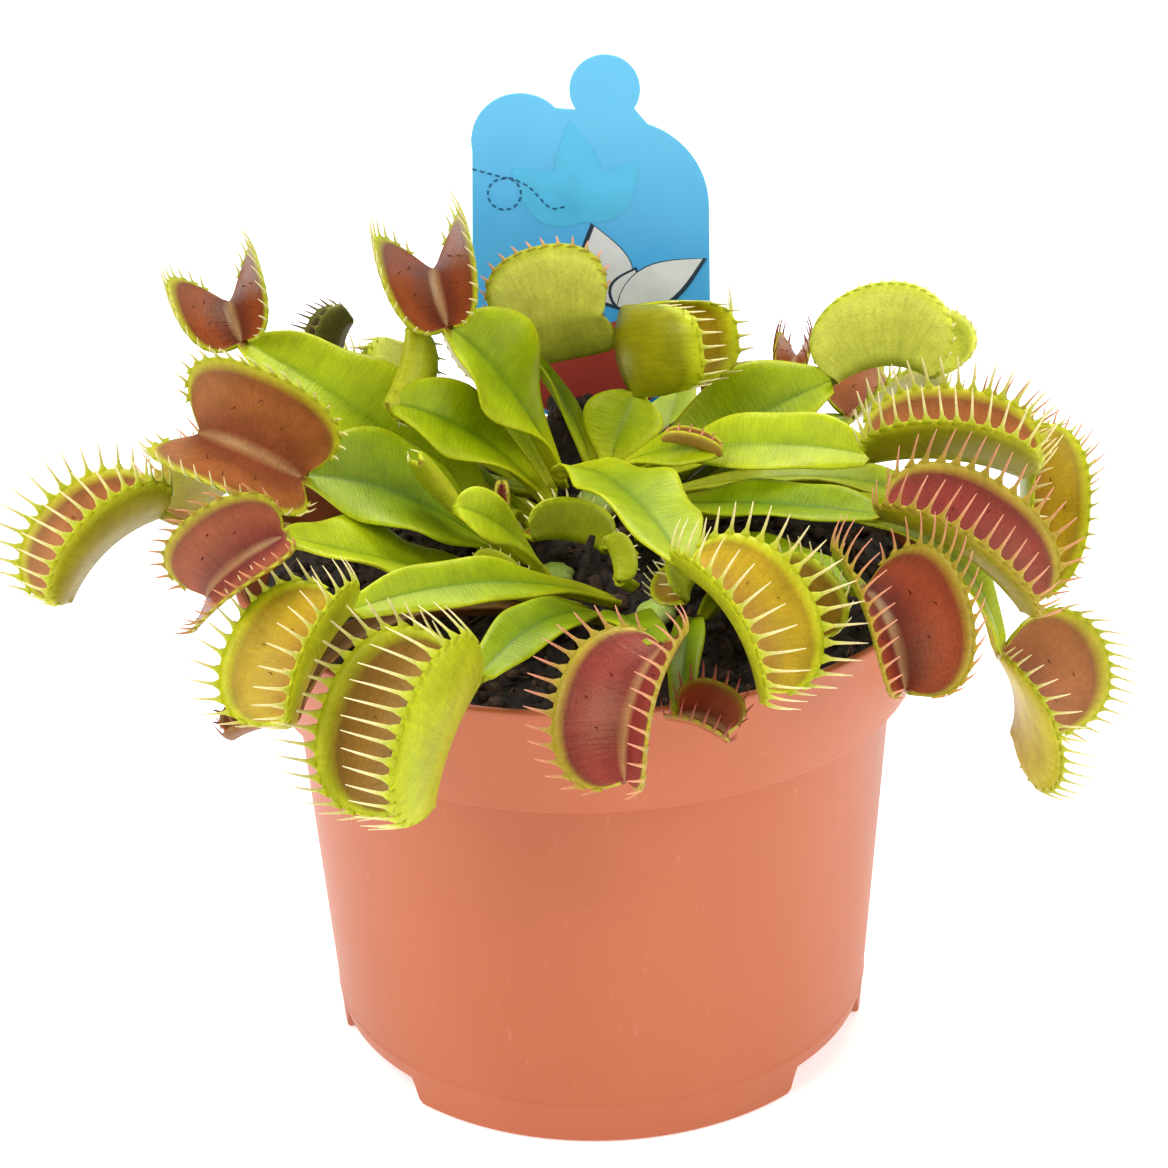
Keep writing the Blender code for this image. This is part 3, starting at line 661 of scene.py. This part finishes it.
def petiole_tints(colours, u, v, front):
    base, green, dark = (linear(c) for c in colours)
    tint = blend_colours(base, green, smooth(0.02, 0.4, u))
    if front:
        band = 0.55 * np.exp(-((v / 0.07) ** 2)) + 0.7 * (1 - np.abs(v)) ** 1.3 * np.sin(np.pi * u)
        tint = blend_colours(tint, dark, np.clip(band, 0, 0.9))
    else:
        tint = blend_colours(tint, base, 0.35 + 0.3 * np.exp(-((v / 0.12) ** 2)))
    return blend_colours(tint, base, 0.6 * smooth(0.86, 1.0, np.abs(v)))


def trap_tints(inner, outer, t, v, front):
    lobe, root, margin = (linear(c) for c in INNERS[inner])
    back = linear(OUTERS[outer])
    away = np.abs(v)
    if front:
        tint = blend_colours(root, lobe, smooth(0.1, 0.6, away))
        # Painted sheen and colour: the darker ring just inside the margin is the lobe's own darker border,
        # and it leaves the middle of the lobe lighter as a painted sheen.
        tint = blend_colours(tint, 0.45 * lobe, 0.5 * np.exp(-(((away - 0.83) / 0.1) ** 2)))
        rim = 0.93 - 0.05 * t**2
        tint = blend_colours(tint, margin, smooth(rim - 0.10, rim + 0.05, away))
        return blend_colours(tint, linear(HINGE_LINE), 0.45 * np.exp(-((v / 0.035) ** 2)))
    tint = blend_colours(back, lobe, 0.12 * (1 - smooth(0.4, 0.9, away)))
    return blend_colours(tint, margin, smooth(0.82, 0.97, away))


def leaf_thickness(v, zone, width):
    """Half the leaf's thickness in front of and behind its middle surface, in millimetres."""
    edge = 1 - 0.62 * smooth(0.8, 1.0, np.abs(v))
    rib = np.exp(-((v * width / 0.7) ** 2))
    return HALF_TISSUE * edge, HALF_TISSUE * edge + rib * np.where(zone > 0, 0.35, 0.75)


def make_leaf(name, leaf, look, number):
    """One leaf with its trap, teeth and trigger hairs, in a single mesh."""
    inner, outer, stem, bite, tooth = LOOKS[name]
    seed = 1.7 * number
    trapless = leaf["hinge"] == 0
    half_columns = HALF_COLUMNS if leaf["hinge"] > SMALL_HINGE or trapless else SMALL_HALF_COLUMNS
    across = np.linspace(-1, 1, 2 * half_columns + 1)
    across = np.sign(across) * np.abs(across) ** 0.85
    stations = np.linspace(0, 1, PETIOLE_ROWS, endpoint=trapless)
    middle, widths, length = petiole_points(leaf, stations, across, seed)
    zone = np.zeros(len(stations))
    along = stations
    spans = widths
    reach = stations * length
    if not trapless:
        t = -np.cos(np.linspace(0, np.pi, TRAP_ROWS))
        grid_t, grid_v = np.meshgrid(t, across, indexing="ij")
        middle = np.concatenate([middle, trap_points(leaf, grid_t, grid_v)])
        zone = np.concatenate([zone, np.ones(TRAP_ROWS)])
        along = np.concatenate([along, t])
        spans = np.concatenate([spans, lobe_width(leaf, t)])
        reach = np.concatenate([reach, length + (t + 1) * leaf["hinge"] / 2])
    rows, columns = middle.shape[:2]
    down = np.gradient(middle, axis=0)
    over = np.gradient(middle, axis=1)
    normal = unit(np.cross(over, down))
    u, v = np.meshgrid(along, across, indexing="ij")
    zones = np.repeat(zone[:, None], columns, 1)
    wide = np.repeat(spans[:, None], columns, 1)
    front_half, back_half = leaf_thickness(v, zones, wide)
    distance = np.repeat(reach[:, None], columns, 1)
    grain = np.stack([distance, v * wide, np.full_like(v, TISSUE_SPACING * number)], -1)
    tints = []
    for front in (True, False):
        blade = petiole_tints(PETIOLES[stem], np.clip(u, 0, 1), v, front)
        lobes = trap_tints(inner, outer, u, v, front)
        tints.append(np.where(zones[..., None] > 0, lobes, blade))
    faces = grid_faces(rows, columns)
    count = rows * columns
    faces += [tuple(count + i for i in reversed(face)) for face in grid_faces(rows, columns)]
    ring = [i * columns for i in range(rows)]
    ring += [(rows - 1) * columns + j for j in range(1, columns)]
    ring += [i * columns + columns - 1 for i in range(rows - 2, -1, -1)]
    ring += list(range(columns - 2, 0, -1))
    for a, b in zip(ring, ring[1:] + ring[:1]):
        faces.append((a, b, count + b, count + a))
    shape = Shape()
    points = np.concatenate([middle + normal * front_half[..., None], middle - normal * back_half[..., None]])
    shape.add(points, faces, np.concatenate(tints), np.concatenate([grain, grain]))
    if tooth > 0:
        add_teeth(shape, leaf, tooth, [linear(c) for c in TEETH[bite]], seed)
        add_hairs(shape, leaf, linear(INNERS[inner][1]) * 0.6)
    return shape.build(f"leaf_{name}_blade", look)


def add_teeth(shape, leaf, tooth, colours, seed):
    """Teeth along both margins, pointing on out of the lobe and bending in over the mouth."""
    out = trap_axes(leaf)[1]
    samples = 160
    fine = np.linspace(-0.965, 0.965, samples)
    scale = min(1.0, leaf["hinge"] / FULL_TEETH_HINGE)
    for lobe in (-1, 1):
        edge = trap_points(leaf, fine, np.full(samples, float(lobe)))
        inside = trap_points(leaf, fine, np.full(samples, 0.9 * lobe))
        mirror = trap_points(leaf, fine, np.full(samples, -float(lobe)))
        steps = np.linalg.norm(np.diff(edge, axis=0), axis=1)
        run = np.concatenate([[0], np.cumsum(steps)])
        count = max(5, int(run[-1] / (TOOTH_SPACING * (0.5 + 0.5 * scale))))
        for k in range(count):
            at = run[-1] * (k + 0.5) / count
            i = int(np.searchsorted(run, at).clip(1, samples - 2))
            way = unit(edge[i] - inside[i])
            tangent = unit(edge[i + 1] - edge[i - 1])
            wobble = math.sin(12.9898 * (k + 1) + 78.233 * lobe + seed)
            lean = unit(0.55 * unit(mirror[i] - edge[i]) + 0.45 * out + 0.12 * wobble * tangent)
            share = math.sin(math.pi * (k + 0.5) / count) ** 0.5
            size = tooth * (0.5 + 0.5 * share) * (1 + 0.12 * wobble)
            way = unit(way + 0.12 * wobble * tangent + 0.3 * lean)
            spike(shape, edge[i] - 0.4 * way, way, lean, size, 0.30 * scale + 0.13, colours,
                  across=tangent, splay=2.2, bend=0.4)


def add_hairs(shape, leaf, colour):
    """Three trigger hairs on each lobe's inner face."""
    for lobe in (-1, 1):
        for t, v in ((-0.3, 0.42), (0.3, 0.42), (0.0, 0.62)):
            here = trap_points(leaf, np.array([t, t + 0.02, t]), np.array([v, v, v + 0.02]) * lobe)
            normal = unit(np.cross(here[2] - here[0], here[1] - here[0])) * lobe
            side = unit(here[1] - here[0])
            length = 0.06 * leaf["hinge"] + 0.2
            spike(shape, here[0], normal, 0.4 * side, length, 0.16, [colour, colour], rings=3)


# ---- crowns and dead stalks
def peat_height(x, y):
    mound = MOUND_HEIGHT * math.exp(-(x**2 + (y - 10) ** 2) / (2 * MOUND_SPREAD**2))
    out = max(abs(x - PLUG_CENTRE[0]) / PLUG_SIZE[0], abs(y - PLUG_CENTRE[1]) / PLUG_SIZE[1])
    plug = PLUG_RISE * min(1, max(0, (1 + PLUG_SHOULDER - out) / PLUG_SHOULDER))
    lumps = 0.35 * math.sin(0.9 * x + 1.3) * math.sin(1.1 * y) + 0.2 * math.sin(2.3 * x - 1.7 * y)
    return PEAT_HEIGHT + mound + plug + lumps


def make_crown(name, spot, look):
    """A short stem wrapped in overlapping pale leaf bases."""
    x, y, radius, height = spot
    foot = peat_height(x, y) + 0.6
    sides = 48
    turns = angles(sides)
    rows = np.linspace(0, np.pi, 21)[1:-1]
    points = []
    for a in rows:
        ribs = 1 + 0.08 * np.cos(7 * turns + 2.5 * a) * math.sin(a)
        level = foot + height / 2 * (1 - math.cos(a))
        points.append(level_ring(radius * math.sin(a) * ribs, turns, level, x, y))
    pale, green = (linear(c) for c in CROWN_GREENS)
    tints = np.repeat(blend_colours(pale, green, (1 - np.cos(rows)) / 2), sides, 0)
    every = np.concatenate(points + [[(x, y, foot), (x, y, foot + height)]])
    shape = Shape()
    shape.add(every, ball_faces(len(rows), sides), np.concatenate([tints, [pale, green]]))
    piece = shape.build(name + "_stem", look)
    place(piece, name, "crown_stem")


def make_stalk(name, points, radius, look):
    """A dry black stalk: a tapered, knotted tube with a blunt torn tip."""
    knots = np.array(points)
    steps = 26
    sides = 12
    path = np.stack([np.interp(np.linspace(0, len(knots) - 1, steps), range(len(knots)), knots[:, k])
                     for k in range(3)], -1)
    way = unit(np.gradient(path, axis=0))
    side = unit(np.cross(way, (0.3, 1.0, 0.1)))
    other = np.cross(way, side)
    turns = angles(sides)
    rows = []
    for k in range(steps):
        s = k / (steps - 1)
        rough = 1 + 0.16 * np.sin(3 * turns + 9 * s) + 0.12 * math.sin(23 * s)
        size = radius * (1 - 0.45 * s) * rough[:, None]
        rows.append(path[k] + size * (np.cos(turns)[:, None] * side[k] + np.sin(turns)[:, None] * other[k]))
    shape = Shape()
    shape.add(np.concatenate(rows), tube_faces(steps, sides), STALK_TINT)
    piece = shape.build(name + "_dry", look)
    place(piece, name, "dead_stalk")


# ---- pot
def arc(centre, radius, start, stop, count):
    """Points on an arc, in degrees from +X towards +Z."""
    turns = np.radians(np.linspace(start, stop, count))
    return [(centre[0] + radius * math.cos(a), centre[1] + radius * math.sin(a)) for a in turns]


def inner_radius(z):
    heights = (FLOOR_HEIGHT, COLLAR_FOOT_HEIGHT, COLLAR_FOOT_HEIGHT + POT_WALL, POT_HEIGHT)
    foot = BASE_RADIUS + (NECK_RADIUS - BASE_RADIUS) * FLOOR_HEIGHT / COLLAR_FOOT_HEIGHT
    return float(np.interp(z, heights, (foot, NECK_RADIUS, COLLAR_FOOT_RADIUS, RIM_RADIUS))) - POT_WALL


def wall_radius(z):
    """Radius of the pot's outer wall below the collar."""
    return BASE_RADIUS + (NECK_RADIUS - BASE_RADIUS) * z / COLLAR_FOOT_HEIGHT


def pot_section():
    """The pot's section as (radius, height), from the inside over the rim to under the floor."""
    lip = 0.5
    bead = 0.35
    foot = 0.3
    under = FLOOR_HEIGHT - POT_WALL
    section = [(0.0, FLOOR_HEIGHT), (inner_radius(FLOOR_HEIGHT) - 1, FLOOR_HEIGHT)]
    section += [(inner_radius(z), z) for z in np.linspace(FLOOR_HEIGHT + 1, COLLAR_FOOT_HEIGHT, 6)]
    section += [(inner_radius(z), z) for z in np.linspace(COLLAR_FOOT_HEIGHT + 1.2, POT_HEIGHT - lip, 6)]
    section += arc((RIM_RADIUS - lip, POT_HEIGHT - lip), lip, 170, 0, 9)
    slope = (RIM_RADIUS - COLLAR_FOOT_RADIUS) / (POT_HEIGHT - COLLAR_FOOT_HEIGHT)
    section += [(RIM_RADIUS - slope * (POT_HEIGHT - z), z) for z in np.linspace(POT_HEIGHT - 1.2, 52.2, 7)]
    section += arc((COLLAR_FOOT_RADIUS - 0.5, COLLAR_FOOT_HEIGHT + 0.55), 0.55, 0, -90, 6)
    section += [(NECK_RADIUS + 0.9, COLLAR_FOOT_HEIGHT - 0.02)]
    section += arc((NECK_RADIUS + 0.6, COLLAR_FOOT_HEIGHT - 0.65), 0.62, 90, 180, 5)
    section += [(wall_radius(z), z) for z in np.linspace(COLLAR_FOOT_HEIGHT - 3, FLOOR_HEIGHT + 1.4, 12)]
    ring = FLOOR_HEIGHT + 0.5
    section += [(wall_radius(ring + bead), ring + bead), (wall_radius(ring) + 0.10, ring)]
    section += [(wall_radius(ring - bead), ring - bead), (wall_radius(foot), foot)]
    inside = BASE_RADIUS - POT_WALL
    section += [(BASE_RADIUS - foot, 0.0), (inside + foot, 0.0), (inside, foot)]
    section += [(inside, under - 0.3), (inside - 0.4, under)]
    section += [(DRAIN_RING + DRAIN_RADIUS + 2, under), (0.0, under)]
    return section


def notch_rise(turn):
    """How far the foot's edge is raised at that angle, in degrees."""
    off = abs((turn - FIRST_NOTCH + 60) % 120 - 60)
    run = math.radians(off) * BASE_RADIUS
    return NOTCH_HEIGHT * float(1 - smooth(NOTCH_WIDTH / 2 - NOTCH_SLOPE, NOTCH_WIDTH / 2, run))


def make_pot(look):
    """The pot, turned in fine steps, with its foot raised into three notches and its drain holes cut."""
    steps = 360
    section = pot_section()[1:-1]
    top = FLOOR_HEIGHT - POT_WALL
    turns = angles(steps)
    rises = np.array([notch_rise(360 * k / steps) for k in range(steps)])
    rows = []
    for radius, z in section:
        if radius > BASE_RADIUS - 2 and z < top:
            level = z + rises * (1 - z / top)
        else:
            level = np.full(steps, float(z))
        rows.append(level_ring(radius, turns, level))
    shape = Shape()
    shape.add(np.concatenate(rows), flipped(tube_faces(len(rows), steps)), (1, 1, 1))
    pot = shape.build("pot_shell", look)
    cutters = []
    for k, spot in enumerate(level_ring(DRAIN_RING, angles(DRAIN_HOLES), FLOOR_HEIGHT)):
        bpy.ops.mesh.primitive_cylinder_add(
            vertices=32, radius=MM * DRAIN_RADIUS, depth=MM * 4 * POT_WALL, location=tuple(MM * spot))
        cutters.append(bpy.context.object)
        cut = pot.modifiers.new(f"drain_{k}", "BOOLEAN")
        cut.operation = "DIFFERENCE"
        cut.object = cutters[-1]
    bpy.context.view_layer.update()
    bored = bpy.data.meshes.new_from_object(pot.evaluated_get(bpy.context.evaluated_depsgraph_get()))
    pot.modifiers.clear()
    pot.data = bored
    bored.materials.clear()
    bored.materials.append(look)
    bored.set_sharp_from_angle(angle=math.radians(40))
    for cutter in cutters:
        bpy.data.objects.remove(cutter, do_unlink=True)
    place(pot, "pot", "terracotta_plastic")


# ---- peat
def rough(x, y, z, scale):
    return noise.noise(Vector((x * scale, y * scale, z * scale)))


def scattered(rng, reach, share):
    """A random point on the peat, within that share of its area."""
    a, r = rng.uniform(0, 2 * np.pi), reach * math.sqrt(rng.uniform(0, share))
    x, y = r * math.cos(a), r * math.sin(a)
    return np.array([x, y, peat_height(x, y)])


def make_peat(look):
    """The filling: a finely crumbled top with loose clods and fibres on it."""
    rng = np.random.default_rng(7)
    steps = 220
    edge = inner_radius(PEAT_HEIGHT - 1) - PEAT_GAP
    radii = edge * np.linspace(1, 0, 111)[:-1]
    turns = angles(steps)
    rows = []
    for z in (FLOOR_HEIGHT + 0.5, COLLAR_FOOT_HEIGHT):
        rows.append(level_ring(inner_radius(z) - PEAT_GAP, turns, z))
    for r in radii:
        ring = []
        for a in turns:
            x, y = r * math.cos(a), r * math.sin(a)
            relief = 0.9 * rough(x, y, 0, 0.35) + 0.7 * rough(x, y, 4, 0.9) + 0.45 * rough(x, y, 9, 2.2)
            ring.append((x, y, peat_height(x, y) + relief * smooth(0, 2, edge - r) - 0.3))
        rows.append(np.array(ring))
    count = len(rows) * steps
    last = count - steps
    faces = [tuple(reversed(range(steps)))] + grid_faces(len(rows), steps, closed=True)
    faces += [(last + j, last + (j + 1) % steps, count) for j in range(steps)]
    every = np.concatenate(rows + [np.array([[0, 0, peat_height(0, 0)]])])
    shape = Shape()
    shape.add(every, faces, (1, 1, 1))
    for _ in range(CLODS):
        add_clod(shape, rng, scattered(rng, edge, 0.96) - 0.1 * UP, rng.uniform(0.35, 1.15))
    for _ in range(FIBRES):
        add_fibre(shape, rng, scattered(rng, edge, 0.9) + 0.2 * UP, rng.uniform(1.5, 4.5))
    place(shape.build("peat_filling", look), "peat", "peat")


def add_clod(shape, rng, centre, size):
    """An uneven crumb of peat: a small ball of 4 rings, pulled about."""
    sides = 7
    turns = angles(sides)
    stretch = rng.uniform(0.6, 1.3, 3)
    rows = []
    for a in (0.7, 1.35, 2.0, 2.6):
        ring = math.sin(a) * (1 + rng.uniform(-0.25, 0.25, sides))
        rows.append(level_ring(ring, turns, math.cos(a)))
    points = np.concatenate(rows + [np.array([[0, 0, 1.0], [0, 0, -1.0]])]) * stretch * size + centre
    shape.add(points, flipped(ball_faces(4, sides)), np.array((1, 0.9, 0.8)) * rng.uniform(0.7, 2.4))


def add_fibre(shape, rng, root, length):
    """A thin brown root fibre lying on the peat."""
    turn = rng.uniform(0, 2 * np.pi)
    way = np.array([math.cos(turn), math.sin(turn), rng.uniform(-0.05, 0.3)])
    lean = np.array([-math.sin(turn), math.cos(turn), -0.4]) * rng.uniform(0.3, 1.2)
    colour = np.array((3.4, 2.6, 1.9)) * rng.uniform(0.5, 1.6)
    spike(shape, root, way, lean, length, 0.22, [colour, colour], flat=1.0, sides=4, rings=5)


# ---- label
def label_outline():
    left, right = LABEL_X - LABEL_WIDTH / 2, LABEL_X + LABEL_WIDTH / 2
    stake_left, stake_right = STAKE_X - STAKE_WIDTH / 2, STAKE_X + STAKE_WIDTH / 2
    stake_foot = PEAT_HEIGHT - STAKE_DEPTH
    bump = (left + LABEL_BUMP_RADIUS + 1, LABEL_TOP - 2)
    shoulder = (right - LABEL_SHOULDER_RADIUS, LABEL_TOP + 0.5 - LABEL_SHOULDER_RADIUS)
    outline = [(STAKE_X, stake_foot), (stake_left, stake_foot + STAKE_POINT)]
    outline += [(stake_left, LABEL_FOOT - LABEL_SLOPE), (left + 1, LABEL_FOOT + 1), (left, LABEL_FOOT + 4)]
    outline += arc(bump, LABEL_BUMP_RADIUS, 190, 42, 24)
    outline += arc(LABEL_KNOB, LABEL_KNOB_RADIUS, 215, -35, 32)
    outline += arc(shoulder, LABEL_SHOULDER_RADIUS, 70, 0, 20)
    outline += [(right, LABEL_FOOT + 4), (right - 1, LABEL_FOOT + 1), (stake_right, LABEL_FOOT - LABEL_SLOPE)]
    outline += [(stake_right, stake_foot + STAKE_POINT)]
    return outline


def flat_piece(name, outlines, thickness, y, look):
    """Flat shapes in the XZ plane, extruded, as one mesh. Each outline is a list of (x, z)."""
    curve = bpy.data.curves.new(name, "CURVE")
    curve.dimensions = "2D"
    curve.fill_mode = "BOTH"
    curve.extrude = MM * thickness / 2
    for outline in outlines:
        spline = curve.splines.new("POLY")
        spline.points.add(len(outline) - 1)
        for point, (x, z) in zip(spline.points, outline):
            point.co = (MM * x, MM * z, 0, 1)
        spline.use_cyclic_u = True
    guide = new_object(name, curve)
    turn = Matrix.Translation((0, MM * y, 0)) @ Matrix.Rotation(math.pi / 2, 4, "X")
    bpy.context.view_layer.update()
    mesh = bpy.data.meshes.new_from_object(guide.evaluated_get(bpy.context.evaluated_depsgraph_get()))
    bpy.data.objects.remove(guide, do_unlink=True)
    mesh.transform(turn)
    mesh.materials.clear()
    mesh.materials.append(look)
    return new_object(name, mesh)


def petal(root, turn, length, width):
    """A leaf shape from its root, pointing turn degrees from +X towards +Z."""
    a = math.radians(turn)
    run = np.linspace(0, 1, 12)
    half = width / 2 * np.sin(np.pi * run**0.8)
    edge = list(zip(run * length, half)) + list(zip(run[-2:0:-1] * length, -half[-2:0:-1]))
    c, s = math.cos(a), math.sin(a)
    return [(root[0] + x * c - y * s, root[1] + x * s + y * c) for x, y in edge]


def dashes(points, length, gap, width):
    """Short bars along a path of (x, z)."""
    path = np.array(points)
    steps = np.linalg.norm(np.diff(path, axis=0), axis=1)
    run = np.concatenate([[0], np.cumsum(steps)])
    bars = []
    for start in np.arange(0, run[-1] - length, length + gap):
        a, b = (np.array([np.interp(at, run, path[:, k]) for k in (0, 1)]) for at in (start, start + length))
        across = unit(np.array([a[1] - b[1], b[0] - a[0]])) * width / 2
        bars.append([tuple(a + across), tuple(b + across), tuple(b - across), tuple(a - across)])
    return bars


def make_label(look):
    """The label with a generic print: a dashed loop, faint and white leaf shapes, and a red ground."""
    label = flat_piece("plant_label_sheet", [label_outline()], LABEL_THICKNESS, LABEL_Y, look)
    place(label, "plant_label", "label_plastic")
    front = LABEL_Y - LABEL_THICKNESS / 2 - INK_GAP
    left = LABEL_X - LABEL_WIDTH / 2 + LABEL_BORDER
    right = LABEL_X + LABEL_WIDTH / 2 - LABEL_BORDER
    foot = LABEL_FOOT - LABEL_SLOPE + LABEL_BORDER
    half_stake = STAKE_WIDTH / 2 - LABEL_BORDER
    loop = [(left + 0.6 + 0.5 * k, 105.2 - 0.16 * k) for k in range(8)]
    loop += arc(LOOP_CENTRE, LOOP_RADIUS, 95, -240, 26)
    loop += [(-9.0 + 0.5 * k, 103.9 - 0.35 * k + 0.08 * k * math.sin(0.5 * k)) for k in range(15)]
    ground = [(STAKE_X - half_stake, foot), (left + 1.0, LABEL_FOOT + 1.2)]
    ground += [(left + (right - left) * k / 24, 84.2 + 1.4 * math.sin(0.35 * k + 0.6)) for k in range(25)]
    ground += [(right - 1.0, LABEL_FOOT + 1.2), (STAKE_X + half_stake, foot)]
    prints = {"ground": ([ground], INKS["ground"])}
    for k, (turn, length, width) in enumerate(SHADES):
        prints[f"shade_{k}"] = ([petal(SHADE_ROOT, turn, length, width)], INKS["shade"])
    for k, (turn, length, width) in enumerate(SPRIG):
        prints[f"sprig_line_{k}"] = ([petal(SPRIG_LINE_ROOT, turn, length, width)], INKS["line"])
        inner = petal(SPRIG_ROOT, turn, length - SPRIG_LINE[0], width - SPRIG_LINE[1])
        prints[f"sprig_{k}"] = ([inner], INKS["white"])
    prints["dashes"] = (dashes(loop, *DASH), INKS["dash"])
    for layer, (name, (outlines, colour)) in enumerate(prints.items()):
        level = front - INK_STEP * layer
        piece = flat_piece("label_" + name, outlines, INK, level, ink_material(f"label_{name}_ink", colour))
        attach(piece, "root")


# ---- studio
def make_camera():
    """A long lens a little above the plant, tipped down and rolled slightly."""
    forward = Vector((
        math.sin(CAMERA_YAW) * math.cos(CAMERA_PITCH),
        math.cos(CAMERA_YAW) * math.cos(CAMERA_PITCH),
        -math.sin(CAMERA_PITCH),
    ))
    level = forward.cross(Vector((0, 0, 1))).normalized()
    right = level * math.cos(CAMERA_ROLL) + level.cross(forward) * math.sin(CAMERA_ROLL)
    up = right.cross(forward)
    data = bpy.data.cameras.new("camera")
    data.lens = LENS
    data.sensor_width = SENSOR_WIDTH
    camera = new_object("camera", data)
    turn = Matrix((right, up, -forward)).transposed().to_4x4()
    camera.matrix_world = Matrix.Translation(CAMERA_PLACE) @ turn
    bpy.context.scene.camera = camera


def soft_light(name, spot, size, power):
    """A large square lamp aimed at the plant."""
    data = bpy.data.lights.new(name, "AREA")
    data.size = size
    data.energy = power
    lamp = new_object(name, data)
    lamp.location = spot
    aim = Vector(LIGHT_AIM) - Vector(spot)
    lamp.rotation_euler = aim.to_track_quat("-Z", "Y").to_euler()


def make_studio():
    world = bpy.data.worlds.new("studio")
    world.use_nodes = True
    world.node_tree.nodes["Background"].inputs["Color"].default_value = (1, 1, 1, 1)
    world.node_tree.nodes["Background"].inputs["Strength"].default_value = 0.45
    bpy.context.scene.world = world
    bpy.context.scene.view_settings.view_transform = "Standard"
    soft_light("key_left", (-0.45, -0.35, 0.65), 0.45, 4.2)
    soft_light("fill_right", (0.55, -0.25, 0.45), 0.45, 2.0)
    soft_light("top", (0.1, 0.35, 0.7), 0.5, 4.5)
    made = Nodes("white_sweep")
    cloud = made.noise(made.object_place(), 3.0)
    white = made.mix(cloud, (0.93, 0.93, 0.925, 1), (0.95, 0.95, 0.945, 1))
    made.feed("Base Color", white)
    made.set(Roughness=0.8, Emission_Color=(1, 1, 1, 1), Emission_Strength=0.45)
    bpy.ops.mesh.primitive_plane_add(size=FLOOR_SIZE, location=(0, 0, -FLOOR_DROP))
    floor = bpy.context.object
    floor.name = "studio_floor"
    floor.data.materials.append(made.material)


def main():
    make_camera()
    make_studio()
    make_pot(pot_material())
    make_peat(peat_material())
    make_label(label_material())
    tissue = leaf_material()
    for name, spot in CROWNS.items():
        make_crown(name, spot, tissue)
    dry = peat_material()
    for name, (points, radius) in STALKS.items():
        make_stalk(name, points, radius, dry)
    for number, (name, row) in enumerate(LEAVES.items()):
        leaf = dict(zip(COLUMNS, row), lean=LEAN.get(name, MIDDLE))
        slot = "leaf_red" if name in RED_LEAVES else "leaf_green"
        place(make_leaf(name, leaf, tissue, number), "leaf_" + name, slot)


main()
